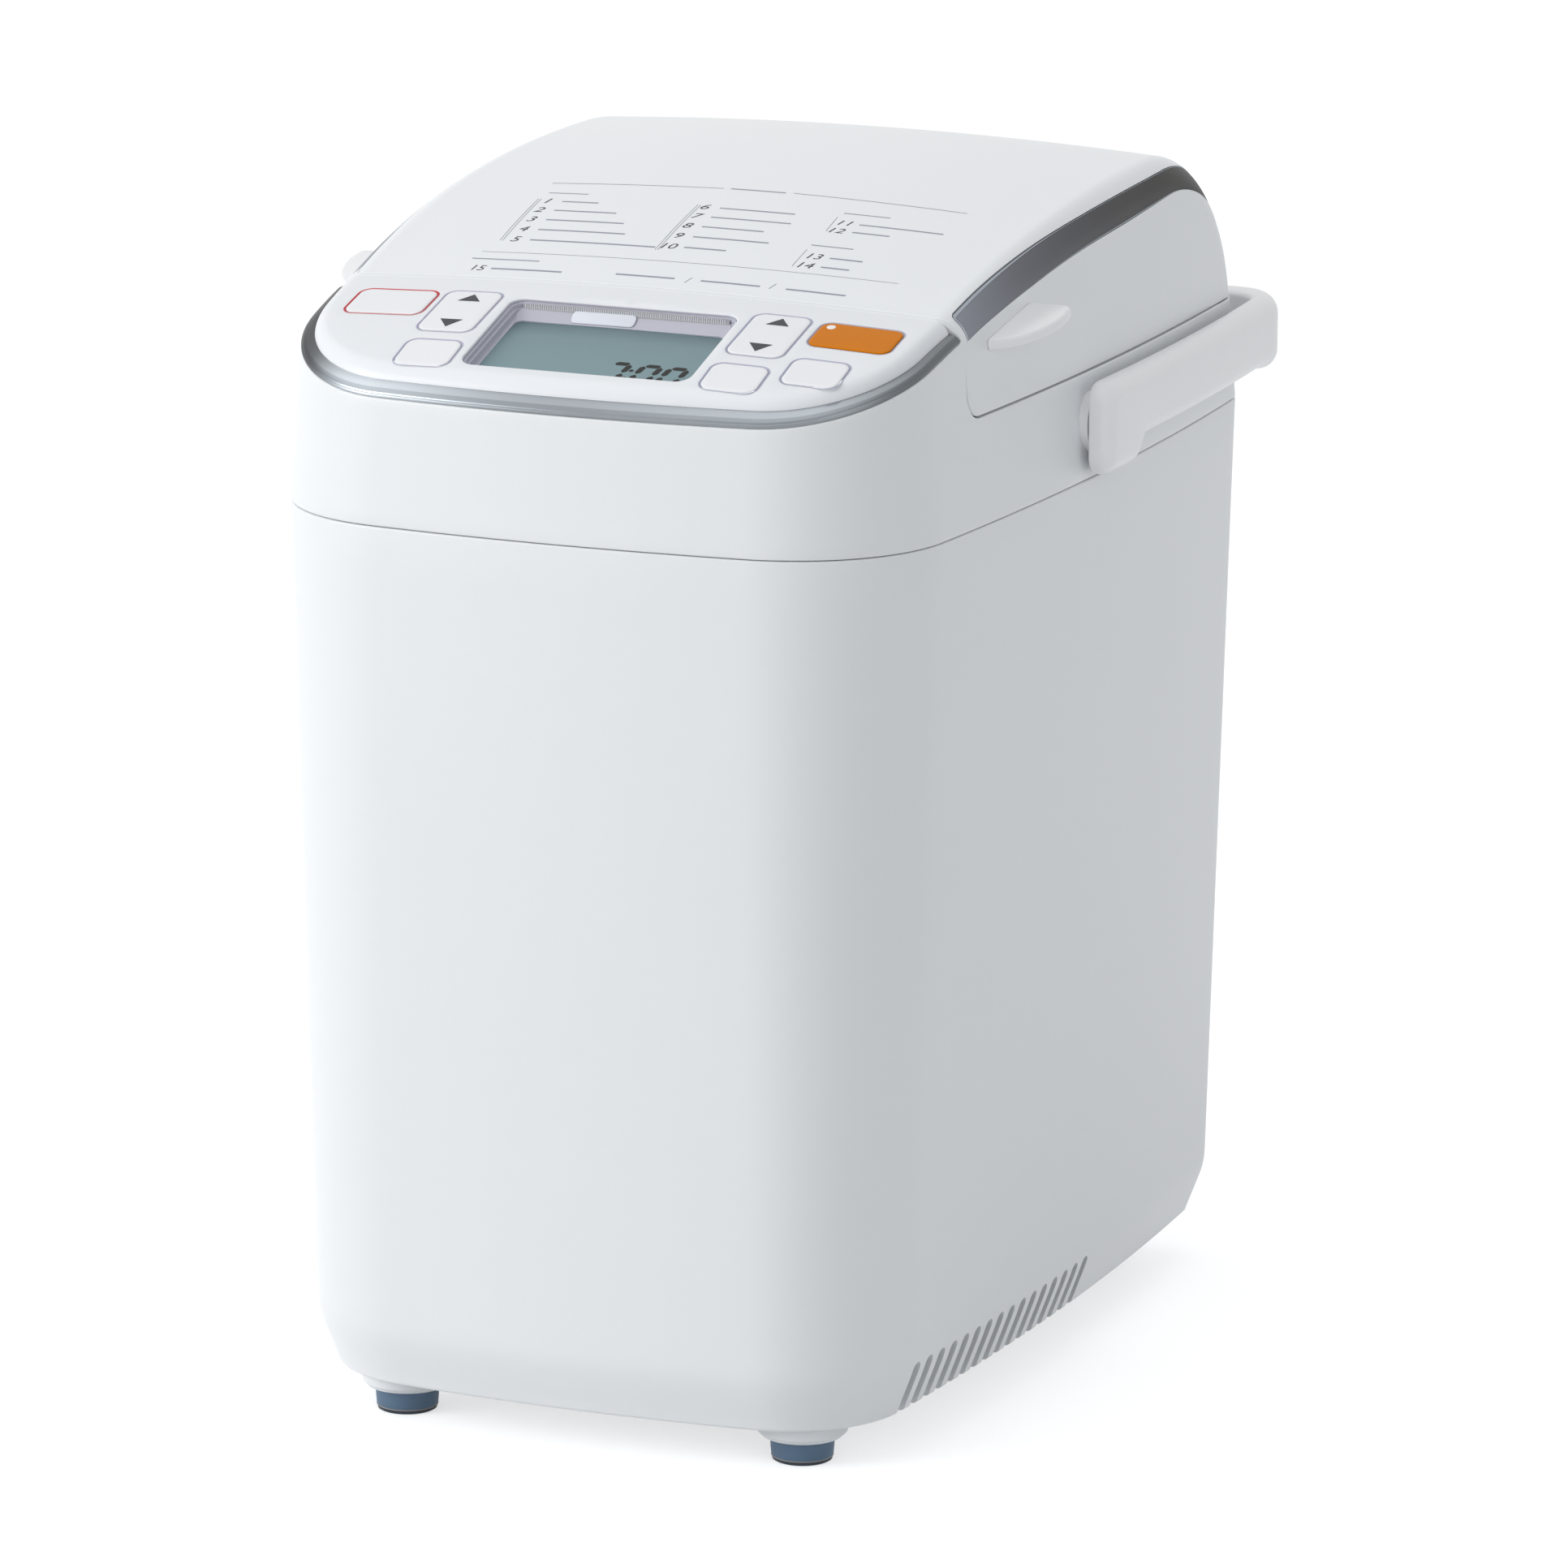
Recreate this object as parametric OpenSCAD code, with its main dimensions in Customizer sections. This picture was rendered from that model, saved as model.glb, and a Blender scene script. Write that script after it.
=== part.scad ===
// Bread machine: bowed tapering case, curved key panel, hinged lid, carry handle,
// baking chamber, lift-out pan with kneading blade, and a belt drive beneath.
// Millimetres, +Z up. The origin is on the floor, below the middle of the whole machine.
// Places along Y are given from the front of the case at its widest height.

/* [Body] */
// Width of the case where its two halves meet
body_w = 216; // [206:1:230]
// Depth of the case where its two halves meet
body_d = 305.5; // [298:0.5:320]
// Radius of the bowed front
front_bow_r = 563; // [450:1:800]
// Radius of the bowed sides
side_bow_r = 1604; // [1200:1:2400]
// Radius of the two front corners
front_corner_r = 49; // [38:1:55]
// Radius of the two rear corners
rear_corner_r = 16; // [14:1:22]
// Distance from the front to the widest place of the sides
widest_y = 170; // [150:1:190]
// Height of the lower edge of the case above the floor
case_bottom_z = 13.5; // [12:0.5:16]
// Height where the lower and the upper case meet
parting_z = 279.5; // [276:0.5:283]
// Height where the lid meets the upper case
lid_seam_z = 311.4; // [308:0.2:314]
// Wall of the plastic case
case_wall = 2.4; // [2:0.1:3]
// Inward lean of the lower case, per millimetre of height
lower_lean = 0.025; // [0.01:0.005:0.04]
// Inward lean of the upper case, per millimetre of height
upper_lean = 0.07; // [0.04:0.01:0.09]
// Height of the leaning band at the foot of the case
skirt_h = 16.5; // [12:0.5:22]
// Inward lean of that band, per millimetre of height
skirt_lean = 0.36; // [0.2:0.02:0.5]

/* [Vents] */
// Number of air slots on each side
slot_count = 16; // [8:1:18]
// Distance from slot to slot
slot_pitch = 8.4; // [7:0.1:9]
// Width of an air slot
slot_w = 4.6; // [3:0.1:5.5]
// Distance from the front to the first slot
slot_first_y = 50; // [45:1:60]

/* [Feet] */
// Distance between the left and the right feet
foot_gap_x = 130; // [110:1:140]
// Distance from the front to the front feet
foot_front_y = 37; // [34:1:45]
// Distance from the rear to the rear feet
foot_rear_in = 37; // [34:1:50]
// Radius of the rubber foot where it stands
foot_r = 9.3; // [7:0.1:10]
// Height of rubber that shows under its boss
foot_h = 7.6; // [6:0.1:9]
// Radius of the boss that holds the foot
boss_r = 13.6; // [12:0.1:15]

/* [Panel] */
// Height of the panel's curved surface at the front of the case
panel_front_z = 322; // [320:0.2:324]
// Slope of the panel at the front of the case, in degrees
panel_slope = 24; // [22:0.5:26]
// Radius of the panel's curve from front to rear
panel_r = 343; // [320:1:400]
// Radius of the panel's slight crown from side to side
crown_r = 1700; // [1400:50:2400]
// Distance from the front to the seam between panel and lid
panel_rear_y = 71; // [70:0.5:73]
// Inset of the white panel cover from the outline of the case
cover_inset = 7.4; // [7:0.1:9]
// Depth of the silver trim's lower edge under the panel's curve
trim_drop = 5.6; // [5:0.1:7]
// Thickness of the panel cover
cover_t = 2.2; // [1.8:0.1:3]
// How far a key stands out of the panel
key_rise = 0.5; // [0.3:0.1:0.8]
// Gap around a key
key_gap = 0.4; // [0.3:0.05:0.6]
// Travel of a push key
key_travel = 0.7; // [0.5:0.1:0.9]
// Corner radius of the keys
key_corner = 3.2; // [2:0.1:4]
// Room between the side of the case and the display window
window_room = 71.5; // [70:0.5:74]
// Depth of the display window, from front to rear
window_d = 42; // [38:0.5:44]
// Depth of the display glass under the panel's curve
glass_drop = 5; // [4:0.1:6]

/* [Lid] */
// Height of the lid above its seam
lid_h = 55.1; // [51.1:0.5:58.6]
// Distance from the front to the highest place of the lid
lid_top_y = 235; // [225:1:245]
// Wall of the lid
lid_wall = 2.2; // [1.8:0.1:2.8]
// Gap between the lid and the upper case
lid_gap = 0.6; // [0.5:0.1:1]
// Radius of the lid's long upper edges
lid_edge_r = 9; // [7:0.5:11]
// Radius of the lid's rear corners
lid_rear_r = 13.5; // [12:0.5:15]
// Crown of the lid from side to side, at the top
lid_crown = 3.2; // [2.4:0.1:4]
// How far a lid tab stands out from the side
tab_out = 14.5; // [12:0.5:15]
// Length of a lid tab where it leaves the side
tab_len = 34; // [28:1:38]
// Thickness of a lid tab
tab_t = 3.6; // [3:0.1:5]
// Opening angle of the lid
lid_open = 80; // [70:1:84]

/* [Handle] */
// Distance from the front to the handle's pivots
pivot_y = 158; // [154:1:162]
// Height of the handle's pivots
pivot_z = 296.5; // [295:0.5:298]
// Radius of the pivot pin
pivot_r = 5; // [4:0.1:6]
// Gap between the case and the handle's arms
handle_gap = 2.8; // [2.4:0.1:3.6]
// Thickness of the handle's arms
arm_t = 8; // [7:0.1:9]
// Height of the arms' upper edge
arm_top_z = 310; // [309:0.5:311]
// Height of the arms' lower edge
arm_bottom_z = 288.5; // [286:0.5:291]
// Height of the lower edge at the pivot end
paddle_bottom_z = 281.5; // [280:0.5:284]
// Length of the arm in front of the pivot
paddle_front = 11.5; // [11:0.5:14]
// Thickness of the grip behind the case
grip_t = 15; // [13:0.5:17]
// Gap between the case and the grip
grip_gap = 6; // [5.6:0.2:8]

/* [Chamber] */
// Room between the case and the chamber, on each side
chamber_side_room = 25; // [24:0.5:28]
// Room between the seam behind the panel and the chamber
chamber_front_room = 31; // [30:0.5:34]
// Room between the chamber and the rear of the case
chamber_rear_room = 27.5; // [27:0.5:30]
// Height of the chamber's floor
chamber_floor_z = 92; // [88:1:96]
// Sheet thickness of the chamber and the pan
sheet_t = 1.2; // [1:0.1:1.6]
// Corner radius of the chamber
chamber_corner_r = 26; // [20:1:30]

/* [Pan] */
// Room between the pan and the chamber, on every side, for the heater
pan_room = 17; // [16.5:0.5:20]
// Height of the pan's body
pan_h = 152; // [140:1:154]
// Corner radius of the pan
pan_corner_r = 24; // [18:1:28]
// Height of the loop of the pan's wire handle
bail_h = 78; // [76:0.5:80]
// Radius of the wire
bail_r = 2; // [1.8:0.1:2.4]
// Length of the kneading blade
blade_len = 62; // [50:1:70]

/* [Drive] */
// Radius of the drive shafts
shaft_r = 4; // [3.5:0.1:4.5]
// Running clearance of a shaft
running_gap = 0.06; // [0.04:0.01:0.09]
// Outer radius of the large pulley
pulley_big_r = 44; // [38:1:48]
// Outer radius of the motor's pulley
pulley_small_r = 10; // [8:0.5:12]
// Width of the toothed belt
belt_w = 9; // [8:0.5:11]
// Distance from the front to the motor's shaft
motor_y = 50; // [48:1:54]
// Radius of the motor
motor_r = 30; // [26:1:32]

/* [Hidden] */
$fn = 48;
// Gap between neighbouring pieces that are fixed together
fit_gap = 0.15;
// Least gap between pieces that move past each other
clear = 0.4;
// Amount by which a cutting shape passes the face it cuts
over = 1;
eps = 0.01;
white = "#f1f3f4";
pale = "#dfe3e6";
silver = "#b9bfc4";
slate = "#4a6078";

lid_top_z = lid_seam_z + lid_h;
window_w = body_w - 2 * window_room;

// ---- Chamber and pan, fitted into the case ----
chamber_w = body_w - 2 * chamber_side_room;
chamber_front_y = panel_rear_y + chamber_front_room;
chamber_rear_y = body_d - chamber_rear_room;
chamber_d = chamber_rear_y - chamber_front_y;
chamber_y = (chamber_front_y + chamber_rear_y) / 2;
pan_w = chamber_w - 2 * pan_room;
pan_d = chamber_d - 2 * pan_room;

// ---- Outline of the case, seen from above ----
front_c = [0, front_bow_r];
side_c = [body_w / 2 - side_bow_r, widest_y];
// Point nearer the front where two circles cross
function circles_meet(c0, r0, c1, r1) =
  let (
    span = norm(c1 - c0),
    along = (span * span + r0 * r0 - r1 * r1) / (2 * span),
    aside = sqrt(r0 * r0 - along * along),
    u = (c1 - c0) / span,
    a = c0 + along * u + aside * [-u.y, u.x],
    b = c0 + along * u - aside * [-u.y, u.x]
  )
  a.y < b.y ? a : b;
corner_c = circles_meet(
  front_c, front_bow_r - front_corner_r, side_c, side_bow_r - front_corner_r
);
// Centre of a rear corner of radius r, on the outline moved inwards by d
function rear_centre(d, r) = [
  side_c.x + sqrt(pow(side_bow_r - d - r, 2) - pow(body_d - d - r - widest_y, 2)),
  body_d - d - r
];
// Heading of the outline where the outward direction runs from a to b
function heading(a, b) = atan2((b - a).x, -(b - a).y);
corner_start = heading(front_c, corner_c);
corner_end = heading(side_c, corner_c);
function arc(c, r, h0, h1, n) =
  [for (i = [1:n]) let (h = h0 + (h1 - h0) * i / n) c + r * [sin(h), -cos(h)]];
// Right half of the outline moved inwards by d, from the front's middle to the rear
function half_plan(d) =
  let (
    r = max(rear_corner_r - d, 1),
    rear_c = rear_centre(d, r),
    side_end = heading(side_c, rear_c)
  )
  concat(
    [[0, d]],
    arc(front_c, front_bow_r - d, 0, corner_start, 4),
    arc(corner_c, front_corner_r - d, corner_start, corner_end, 12),
    arc(side_c, side_bow_r - d, corner_end, side_end, 8),
    arc(rear_c, r, side_end, 180, 7)
  );
function plan(d) =
  let (right = half_plan(d))
  concat(right, [for (i = [len(right) - 1:-1:1]) [-right[i].x, right[i].y]]);
// Half the width of the case at a distance y from the front, without its rear corners
function side_x(y, d = 0) = side_c.x + sqrt(pow(side_bow_r - d, 2) - pow(y - widest_y, 2));
function lower_in(z) = lower_lean * (parting_z - z) + skirt_lean * max(0, skirt_top - z);
function upper_in(z) = upper_lean * (z - parting_z);
skirt_top = case_bottom_z + skirt_h;
function ring(d, z) = [for (p = plan(d)) [p.x, p.y, z]];

// ---- Solids skinned over rings of points ----
function skin(k, n, closed) = [
  for (j = [0:closed ? k - 1 : k - 2], i = [0:n - 1])
    let (m = (i + 1) % n, t = (j + 1) % k)
    [j * n + i, t * n + i, t * n + m, j * n + m]
];
// Closed at both ends by flat caps
module loft(rings) {
  n = len(rings[0]);
  k = len(rings);
  polyhedron(
    [for (r = rings) each r],
    concat(
      skin(k, n, false),
      [[for (i = [0:n - 1]) i], [for (i = [n - 1:-1:0]) (k - 1) * n + i]]
    )
  );
}
// A wall that runs round: rings up the outside, then down the inside
module wall_loft(rings) {
  polyhedron([for (r = rings) each r], skin(len(rings), len(rings[0]), true));
}
// The shell between two grids of points, rows of equal length; out is its outer face
module grid_shell(out, inn) {
  rows = len(out);
  cols = len(out[0]);
  function at(i, j) = i * cols + j;
  function back(i, j) = rows * cols + i * cols + j;
  polyhedron(
    concat([for (r = out) each r], [for (r = inn) each r]),
    [
      for (i = [0:rows - 2], j = [0:cols - 2])
        each [
          [at(i, j), at(i + 1, j), at(i + 1, j + 1), at(i, j + 1)],
          [back(i, j), back(i, j + 1), back(i + 1, j + 1), back(i + 1, j)]
        ],
      for (i = [0:rows - 2])
        each [
          [at(i, 0), back(i, 0), back(i + 1, 0), at(i + 1, 0)],
          [at(i + 1, cols - 1), back(i + 1, cols - 1), back(i, cols - 1), at(i, cols - 1)]
        ],
      for (j = [0:cols - 2])
        each [
          [at(0, j + 1), back(0, j + 1), back(0, j), at(0, j)],
          [at(rows - 1, j), back(rows - 1, j), back(rows - 1, j + 1), at(rows - 1, j + 1)]
        ]
    ]
  );
}
// Exact rounded rectangle from squares and circles
module soft_rect(w, d, r) {
  square([w - 2 * r, d], center = true);
  square([w, d - 2 * r], center = true);
  for (x = [-1, 1], y = [-1, 1])
    translate([x * (w / 2 - r), y * (d / 2 - r)]) circle(r);
}
module both_sides() {
  children();
  mirror([1, 0, 0]) children();
}
// Moves from the front of the case to the middle of the machine's footprint
module place() {
  translate([0, -overall_d / 2, 0]) children();
}

// ---- The panel's curve: a wide barrel lying across the machine ----
barrel_y = panel_r * sin(panel_slope);
barrel_z = panel_front_z - panel_r * cos(panel_slope);
function crown_drop(x) = crown_r - sqrt(crown_r * crown_r - x * x);
function panel_z(x, y, drop = 0) =
  barrel_z + sqrt(pow(panel_r - drop - crown_drop(x), 2) - pow(y - barrel_y, 2));
barrel_half = body_w / 2 + 8;
crown_steps = 14;
module barrel(drop = 0) {
  translate([0, barrel_y, barrel_z])
    rotate([0, 90, 0])
      rotate_extrude($fn = 720)
        polygon([
          [0, -barrel_half],
          for (i = [-crown_steps:crown_steps])
            let (x = i * barrel_half / crown_steps) [panel_r - drop - crown_drop(x), x],
          [0, barrel_half]
        ]);
}
// Puts its children on the panel's curve at x, y, with Z along the surface normal
module on_panel(x, y, drop = 0) {
  lean = asin((barrel_y - y) / (panel_r - crown_drop(x)));
  roll = asin(x / crown_r);
  translate([x, y, panel_z(x, y)])
    rotate([lean, 0, 0])
      rotate([0, roll, 0])
        translate([0, 0, -drop]) children();
}

// ---- Case ----
deck_t = 2.6;
deck_z = lid_seam_z - deck_t;
edge_soft = 0.5;
bottom_soft = 1.4;
module lower_case() place() color(white) {
  top = parting_z - fit_gap;
  soft = case_bottom_z + bottom_soft;
  difference() {
    wall_loft([
      ring(lower_in(soft) + 3 * edge_soft, case_bottom_z),
      ring(lower_in(soft), soft),
      ring(lower_in(skirt_top), skirt_top),
      ring(lower_in(top), top - edge_soft),
      ring(lower_in(top) + edge_soft, top),
      ring(lower_in(top) + case_wall, top),
      ring(lower_in(skirt_top) + case_wall, skirt_top),
      ring(lower_in(soft) + case_wall, case_bottom_z)
    ]);
    air_slots();
    // Hole for the cord gland
    gland_place() cylinder(r = gland_r + fit_gap, h = 20, center = true);
  }
}
// The slots run through the leaning band at the foot of both sides
module air_slots() {
  for (i = [0:slot_count - 1])
    translate([0, slot_first_y + i * slot_pitch, skirt_top - slot_w / 2])
      rotate([90, 0, 90])
        linear_extrude(body_w + 2, center = true) {
          circle(slot_w / 2);
          translate([-slot_w / 2, -skirt_h]) square([slot_w, skirt_h]);
        }
}

pivot_disc_r = 9.2;
pivot_flange_r = 10.6;
module pivot_place() {
  translate([0, pivot_y, pivot_z]) rotate([0, 90, 0]) children();
}
chamber_hole_w = chamber_w + 2 * sheet_t + 10;
chamber_hole_d = chamber_d + 2 * sheet_t + 10;
module upper_case() place() color(white) {
  foot = parting_z + fit_gap;
  peak = panel_z(0, panel_rear_y) + 10;
  wall_in = panel_rear_y - case_wall;
  difference() {
    loft([
      ring(edge_soft, foot),
      ring(upper_in(foot), foot + edge_soft),
      ring(upper_in(lid_seam_z), lid_seam_z),
      ring(upper_in(peak), peak)
    ]);
    // Everything above the curve on which the trim lies
    difference() {
      translate([-body_w, -over, lid_seam_z])
        cube([2 * body_w, panel_rear_y + over, peak]);
      barrel(trim_drop);
    }
    // The step down to the seam of the lid
    translate([-body_w, panel_rear_y, lid_seam_z]) cube([2 * body_w, body_d, peak]);
    // Hollow under the deck
    loft([
      ring(upper_in(foot) + case_wall, foot - over),
      ring(upper_in(deck_z) + case_wall, deck_z)
    ]);
    // Hollow of the front compartment
    intersection() {
      loft([
        ring(upper_in(deck_z) + case_wall, deck_z - over),
        ring(upper_in(peak) + case_wall, peak + over)
      ]);
      translate([-body_w, -over, deck_z - over]) cube([2 * body_w, wall_in + over, peak]);
    }
    // Opening above the baking chamber
    translate([0, chamber_y, deck_z - over])
      linear_extrude(deck_t + 2 * over)
        soft_rect(chamber_hole_w, chamber_hole_d, chamber_corner_r + 5);
    // Holes for the discs of the handle's pivots
    pivot_place() cylinder(r = pivot_disc_r + fit_gap, h = body_w + 20, center = true);
  }
}

base_t = 2.4;
base_z = case_bottom_z + 1;
base_in = lower_in(base_z) + case_wall + 0.4;
foot_places = [
  for (x = [-1, 1], y = [foot_front_y, body_d - foot_rear_in]) [x * foot_gap_x / 2, y]
];
boss_bottom_z = foot_h;
foot_plug_r = 5;
screw_r = 2.2;
screw_head_r = 4;
chassis_front_y = motor_y - motor_r - 6;
chassis_rear_y = chamber_rear_y - 10;
chassis_leg_d = 30;
screw_leg_gap = 12;
screw_places = [
  for (
    x = [-1, 1],
    y = [chassis_front_y + chassis_leg_d + screw_leg_gap, chassis_rear_y - chassis_leg_d - screw_leg_gap]
  ) [x * (foot_gap_x / 2 + boss_r), y]
];
module base_plate() place() color(white) {
  difference() {
    union() {
      translate([0, 0, base_z]) linear_extrude(base_t) polygon(plan(base_in));
      for (p = foot_places)
        translate([p.x, p.y, boss_bottom_z]) {
          cylinder(r1 = boss_r - 1.5, r2 = boss_r, h = 1.5);
          translate([0, 0, 1.5]) cylinder(r = boss_r, h = base_z - boss_bottom_z);
        }
    }
    for (p = foot_places) {
      // Socket for the rubber foot
      translate([p.x, p.y, boss_bottom_z - over])
        cylinder(r = foot_plug_r + fit_gap, h = base_z + base_t);
    }
    for (p = screw_places)
      translate([p.x, p.y, base_z - over]) cylinder(r = screw_r + fit_gap, h = base_t + 2 * over);
    // Air inlets under the drive
    for (i = [-4:4])
      translate([i * 9, chamber_y, base_z + base_t / 2])
        cube([4, 60, base_t + 2 * over], center = true);
  }
}
module rubber_feet() place() color(slate) {
  for (p = foot_places)
    translate([p.x, p.y, 0]) {
      rotate_extrude()
        polygon([
          [0, 0], [foot_r - 0.8, 0], [foot_r, 0.8], [foot_r + 0.4, foot_h - 1.6],
          [foot_r + 1, foot_h - 1.4], [foot_r + 1, foot_h - fit_gap], [0, foot_h - fit_gap]
        ]);
      // Plug that is pressed into the boss
      translate([0, 0, foot_h - fit_gap - eps]) cylinder(r = foot_plug_r, h = 8);
    }
}
module case_screws() place() color(silver) {
  for (p = screw_places)
    translate([p.x, p.y, 0]) {
      translate([0, 0, base_z - 2.3]) {
        difference() {
          cylinder(r = screw_head_r, h = 2.2);
          translate([0, 0, -over])
            for (a = [0, 90]) rotate(a) translate([-2.4, -0.45, 0]) cube([4.8, 0.9, 2]);
        }
        cylinder(r = screw_r, h = 14);
      }
    }
}
gland_r = 7;
gland_bore_r = 3.4;
gland_x = -62;
gland_z = 46;
gland_len = 16;
gland_wall_y = body_d - lower_in(gland_z);
module gland_place() {
  translate([gland_x, gland_wall_y - gland_len / 2 + 2.3, gland_z]) rotate([-90, 0, 0]) children();
}
// Grommet through which a mains cord enters at the rear
module cord_gland() place() color("#3a3d40") {
  gland_place()
    difference() {
      union() {
        cylinder(r = gland_r, h = gland_len, center = true);
        translate([0, 0, gland_len / 2 - 2]) cylinder(r = gland_r + 2, h = 2);
        translate([0, 0, gland_len / 2 - 3 - case_wall - 2.2])
          cylinder(r = gland_r + 2, h = 1.4);
      }
      cylinder(r = gland_bore_r, h = gland_len + 2, center = true);
    }
}

// ---- Panel ----
cover_side_drop = 3.7;
trim_top_drop = 3.4;
trim_gap = 0.4;
panel_back_y = panel_rear_y - 0.4;
// A ring that follows the panel's curve at a depth under it
function panel_ring(d, drop) = [for (p = plan(d)) [p.x, p.y, panel_z(p.x, min(p.y, 150), drop)]];
// The same, a distance inside the leaning sides of the upper case
function edge_ring(d, drop) =
  let (first = panel_ring(d + upper_in(lid_seam_z), drop))
  [
    for (i = [0:len(first) - 1])
      let (p = plan(d + upper_in(first[i].z))[i]) [p.x, p.y, panel_z(p.x, min(p.y, 150), drop)]
  ];
module front_only(y = panel_back_y) {
  intersection() {
    children();
    translate([-body_w, -over, lid_seam_z]) cube([2 * body_w, y + over, 60]);
  }
}
module cover_block(inset, drop) {
  intersection() {
    front_only() loft([
      ring(cover_inset + inset, lid_seam_z),
      panel_ring(cover_inset + inset, cover_side_drop),
      panel_ring(cover_inset + inset + 0.5, 2.1),
      panel_ring(cover_inset + inset + 1.5, 0.9),
      panel_ring(cover_inset + inset + 2.9, 0.2),
      ring(cover_inset + inset + 4.2, panel_z(0, 150) + 2)
    ]);
    barrel(drop);
  }
}
module panel_cover() place() color(white) {
  for (k = rocker_keys) rock_lugs(k);
  difference() {
    cover_block(0, 0);
    difference() {
      cover_block(cover_t, cover_t);
      translate([-body_w, panel_back_y - cover_t, 0]) cube([2 * body_w, 50, 2 * lid_top_z]);
    }
    // The cover's skirt ends on the rim of the case
    intersection() {
      barrel(trim_drop - fit_gap);
      translate([-body_w, -over, 0]) cube([2 * body_w, body_d, 2 * lid_top_z]);
    }
    for (k = push_keys) on_panel(k[0].x, k[0].y) key_hole(k[1]);
    for (k = rocker_keys) on_panel(k[0].x, k[0].y) key_hole(k[1]);
    on_panel(0, window_y)
      translate([0, 0, -20]) linear_extrude(40) soft_rect(window_w, window_d, window_corner);
  }
}
window_y = 35;
window_corner = 4.5;
module key_hole(size) {
  translate([0, 0, -12])
    linear_extrude(24)
      soft_rect(size.x + 2 * key_gap, size.y + 2 * key_gap, key_corner + key_gap);
}
module panel_trim() place() color(silver) {
  front_only(panel_rear_y - 0.6)
    wall_loft([
      edge_ring(0.1, trim_drop - trim_gap),
      edge_ring(0.2, trim_drop - 0.9),
      edge_ring(0.9, trim_drop - 1.5),
      edge_ring(2.3, trim_drop - 2),
      panel_ring(cover_inset - fit_gap, trim_top_drop),
      panel_ring(cover_inset - fit_gap, trim_drop - trim_gap)
    ]);
}

// Keys: place of the middle, then width and depth
cancel_at = [[34.2 - body_w / 2, 48.8], [25, 16]];
crust_at = [[-window_w / 2 - 11.9, 19.8], [17.4, 14.2]];
timer_at = [[window_w / 2 + 12.9, 19.8], [17.4, 14.2]];
cycle_at = [[body_w / 2 - 36.2, 27], [17.4, 14.4]];
start_at = [[body_w / 2 - 32.8, 49.4], [25.6, 15.2]];
course_at = [[-window_w / 2 - 12.9, 44.6], [17.6, 26.2]];
time_at = [[window_w / 2 + 13.1, 45], [17.6, 26.2]];
push_keys = [cancel_at, crust_at, timer_at, cycle_at, start_at];
rocker_keys = [course_at, time_at];
key_body_drop = 5.2;
key_flange = 0.9;
// A key's cap with a retaining flange under the cover, its top on the panel's curve
module key_cap(k) {
  intersection() {
    on_panel(k[0].x, k[0].y)
      union() {
        translate([0, 0, -key_body_drop])
          linear_extrude(key_body_drop + 4) soft_rect(k[1].x, k[1].y, key_corner);
        translate([0, 0, -key_body_drop])
          linear_extrude(key_body_drop - cover_t - key_travel - 0.5)
            soft_rect(k[1].x + 2 * key_flange, k[1].y + 2 * key_flange, key_corner);
      }
    barrel(-key_rise);
    translate([0, 0, lid_seam_z]) linear_extrude(60) polygon(plan(cover_inset + cover_t + key_gap));
  }
}
// The two rocker keys turn on short pins in lugs under the cover
rock_pin_r = 1;
rock_pin_drop = 4;
rock_lug_t = 1.4;
rock_lug_w = 4;
module rock_pin(k, r, reach) {
  on_panel(k[0].x, k[0].y)
    translate([-k[1].x / 2 - reach, 0, -rock_pin_drop]) rotate([0, 90, 0]) cylinder(r = r, h = k[1].x + 2 * reach);
}
module rocker_cap(k) {
  difference() {
    key_cap(k);
    // Notches in the flange, which pass the lugs
    on_panel(k[0].x, k[0].y)
      for (s = [-1, 1])
        translate([s * (k[1].x / 2 + 1 - eps), 0, -key_body_drop])
          cube([2, rock_lug_w + 1.2, 6], center = true);
  }
  rock_pin(k, rock_pin_r, key_gap + rock_lug_t - 0.2);
}
module rock_lugs(k) {
  difference() {
    on_panel(k[0].x, k[0].y)
      for (s = [-1, 1])
        translate([s * (k[1].x / 2 + key_gap + rock_lug_t / 2), 0, -rock_pin_drop + 0.4])
          cube([rock_lug_t, rock_lug_w, 4.8], center = true);
    rock_pin(k, rock_pin_r + running_gap, 5);
  }
}
module cancel_key() place() color(white) key_cap(cancel_at);
module crust_key() place() color(white) key_cap(crust_at);
module timer_key() place() color(white) key_cap(timer_at);
module cycle_key() place() color(white) key_cap(cycle_at);
module course_key() place() color(white) rocker_cap(course_at);
module time_key() place() color(white) rocker_cap(time_at);
lamp_in = [-9.6, 4.6];
lamp_r = 1.3;
module start_key() place() color("#de9426") {
  difference() {
    key_cap(start_at);
    on_panel(start_at[0].x, start_at[0].y)
      translate([lamp_in.x, lamp_in.y, -key_body_drop - over])
        cylinder(r = lamp_r + 0.1, h = key_body_drop + 5);
  }
}
// Light guide that shows as a dot in the start key
module start_lamp() place() color("white") {
  on_panel(start_at[0].x, start_at[0].y)
    translate([lamp_in.x, lamp_in.y, -key_body_drop]) cylinder(r = lamp_r, h = key_body_drop + key_rise);
}
switch_h = 2.4;
board_t = 1.6;
board_drop = key_body_drop + key_travel + crown_drop(90) + clear + switch_h;
board_y = 37;
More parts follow.
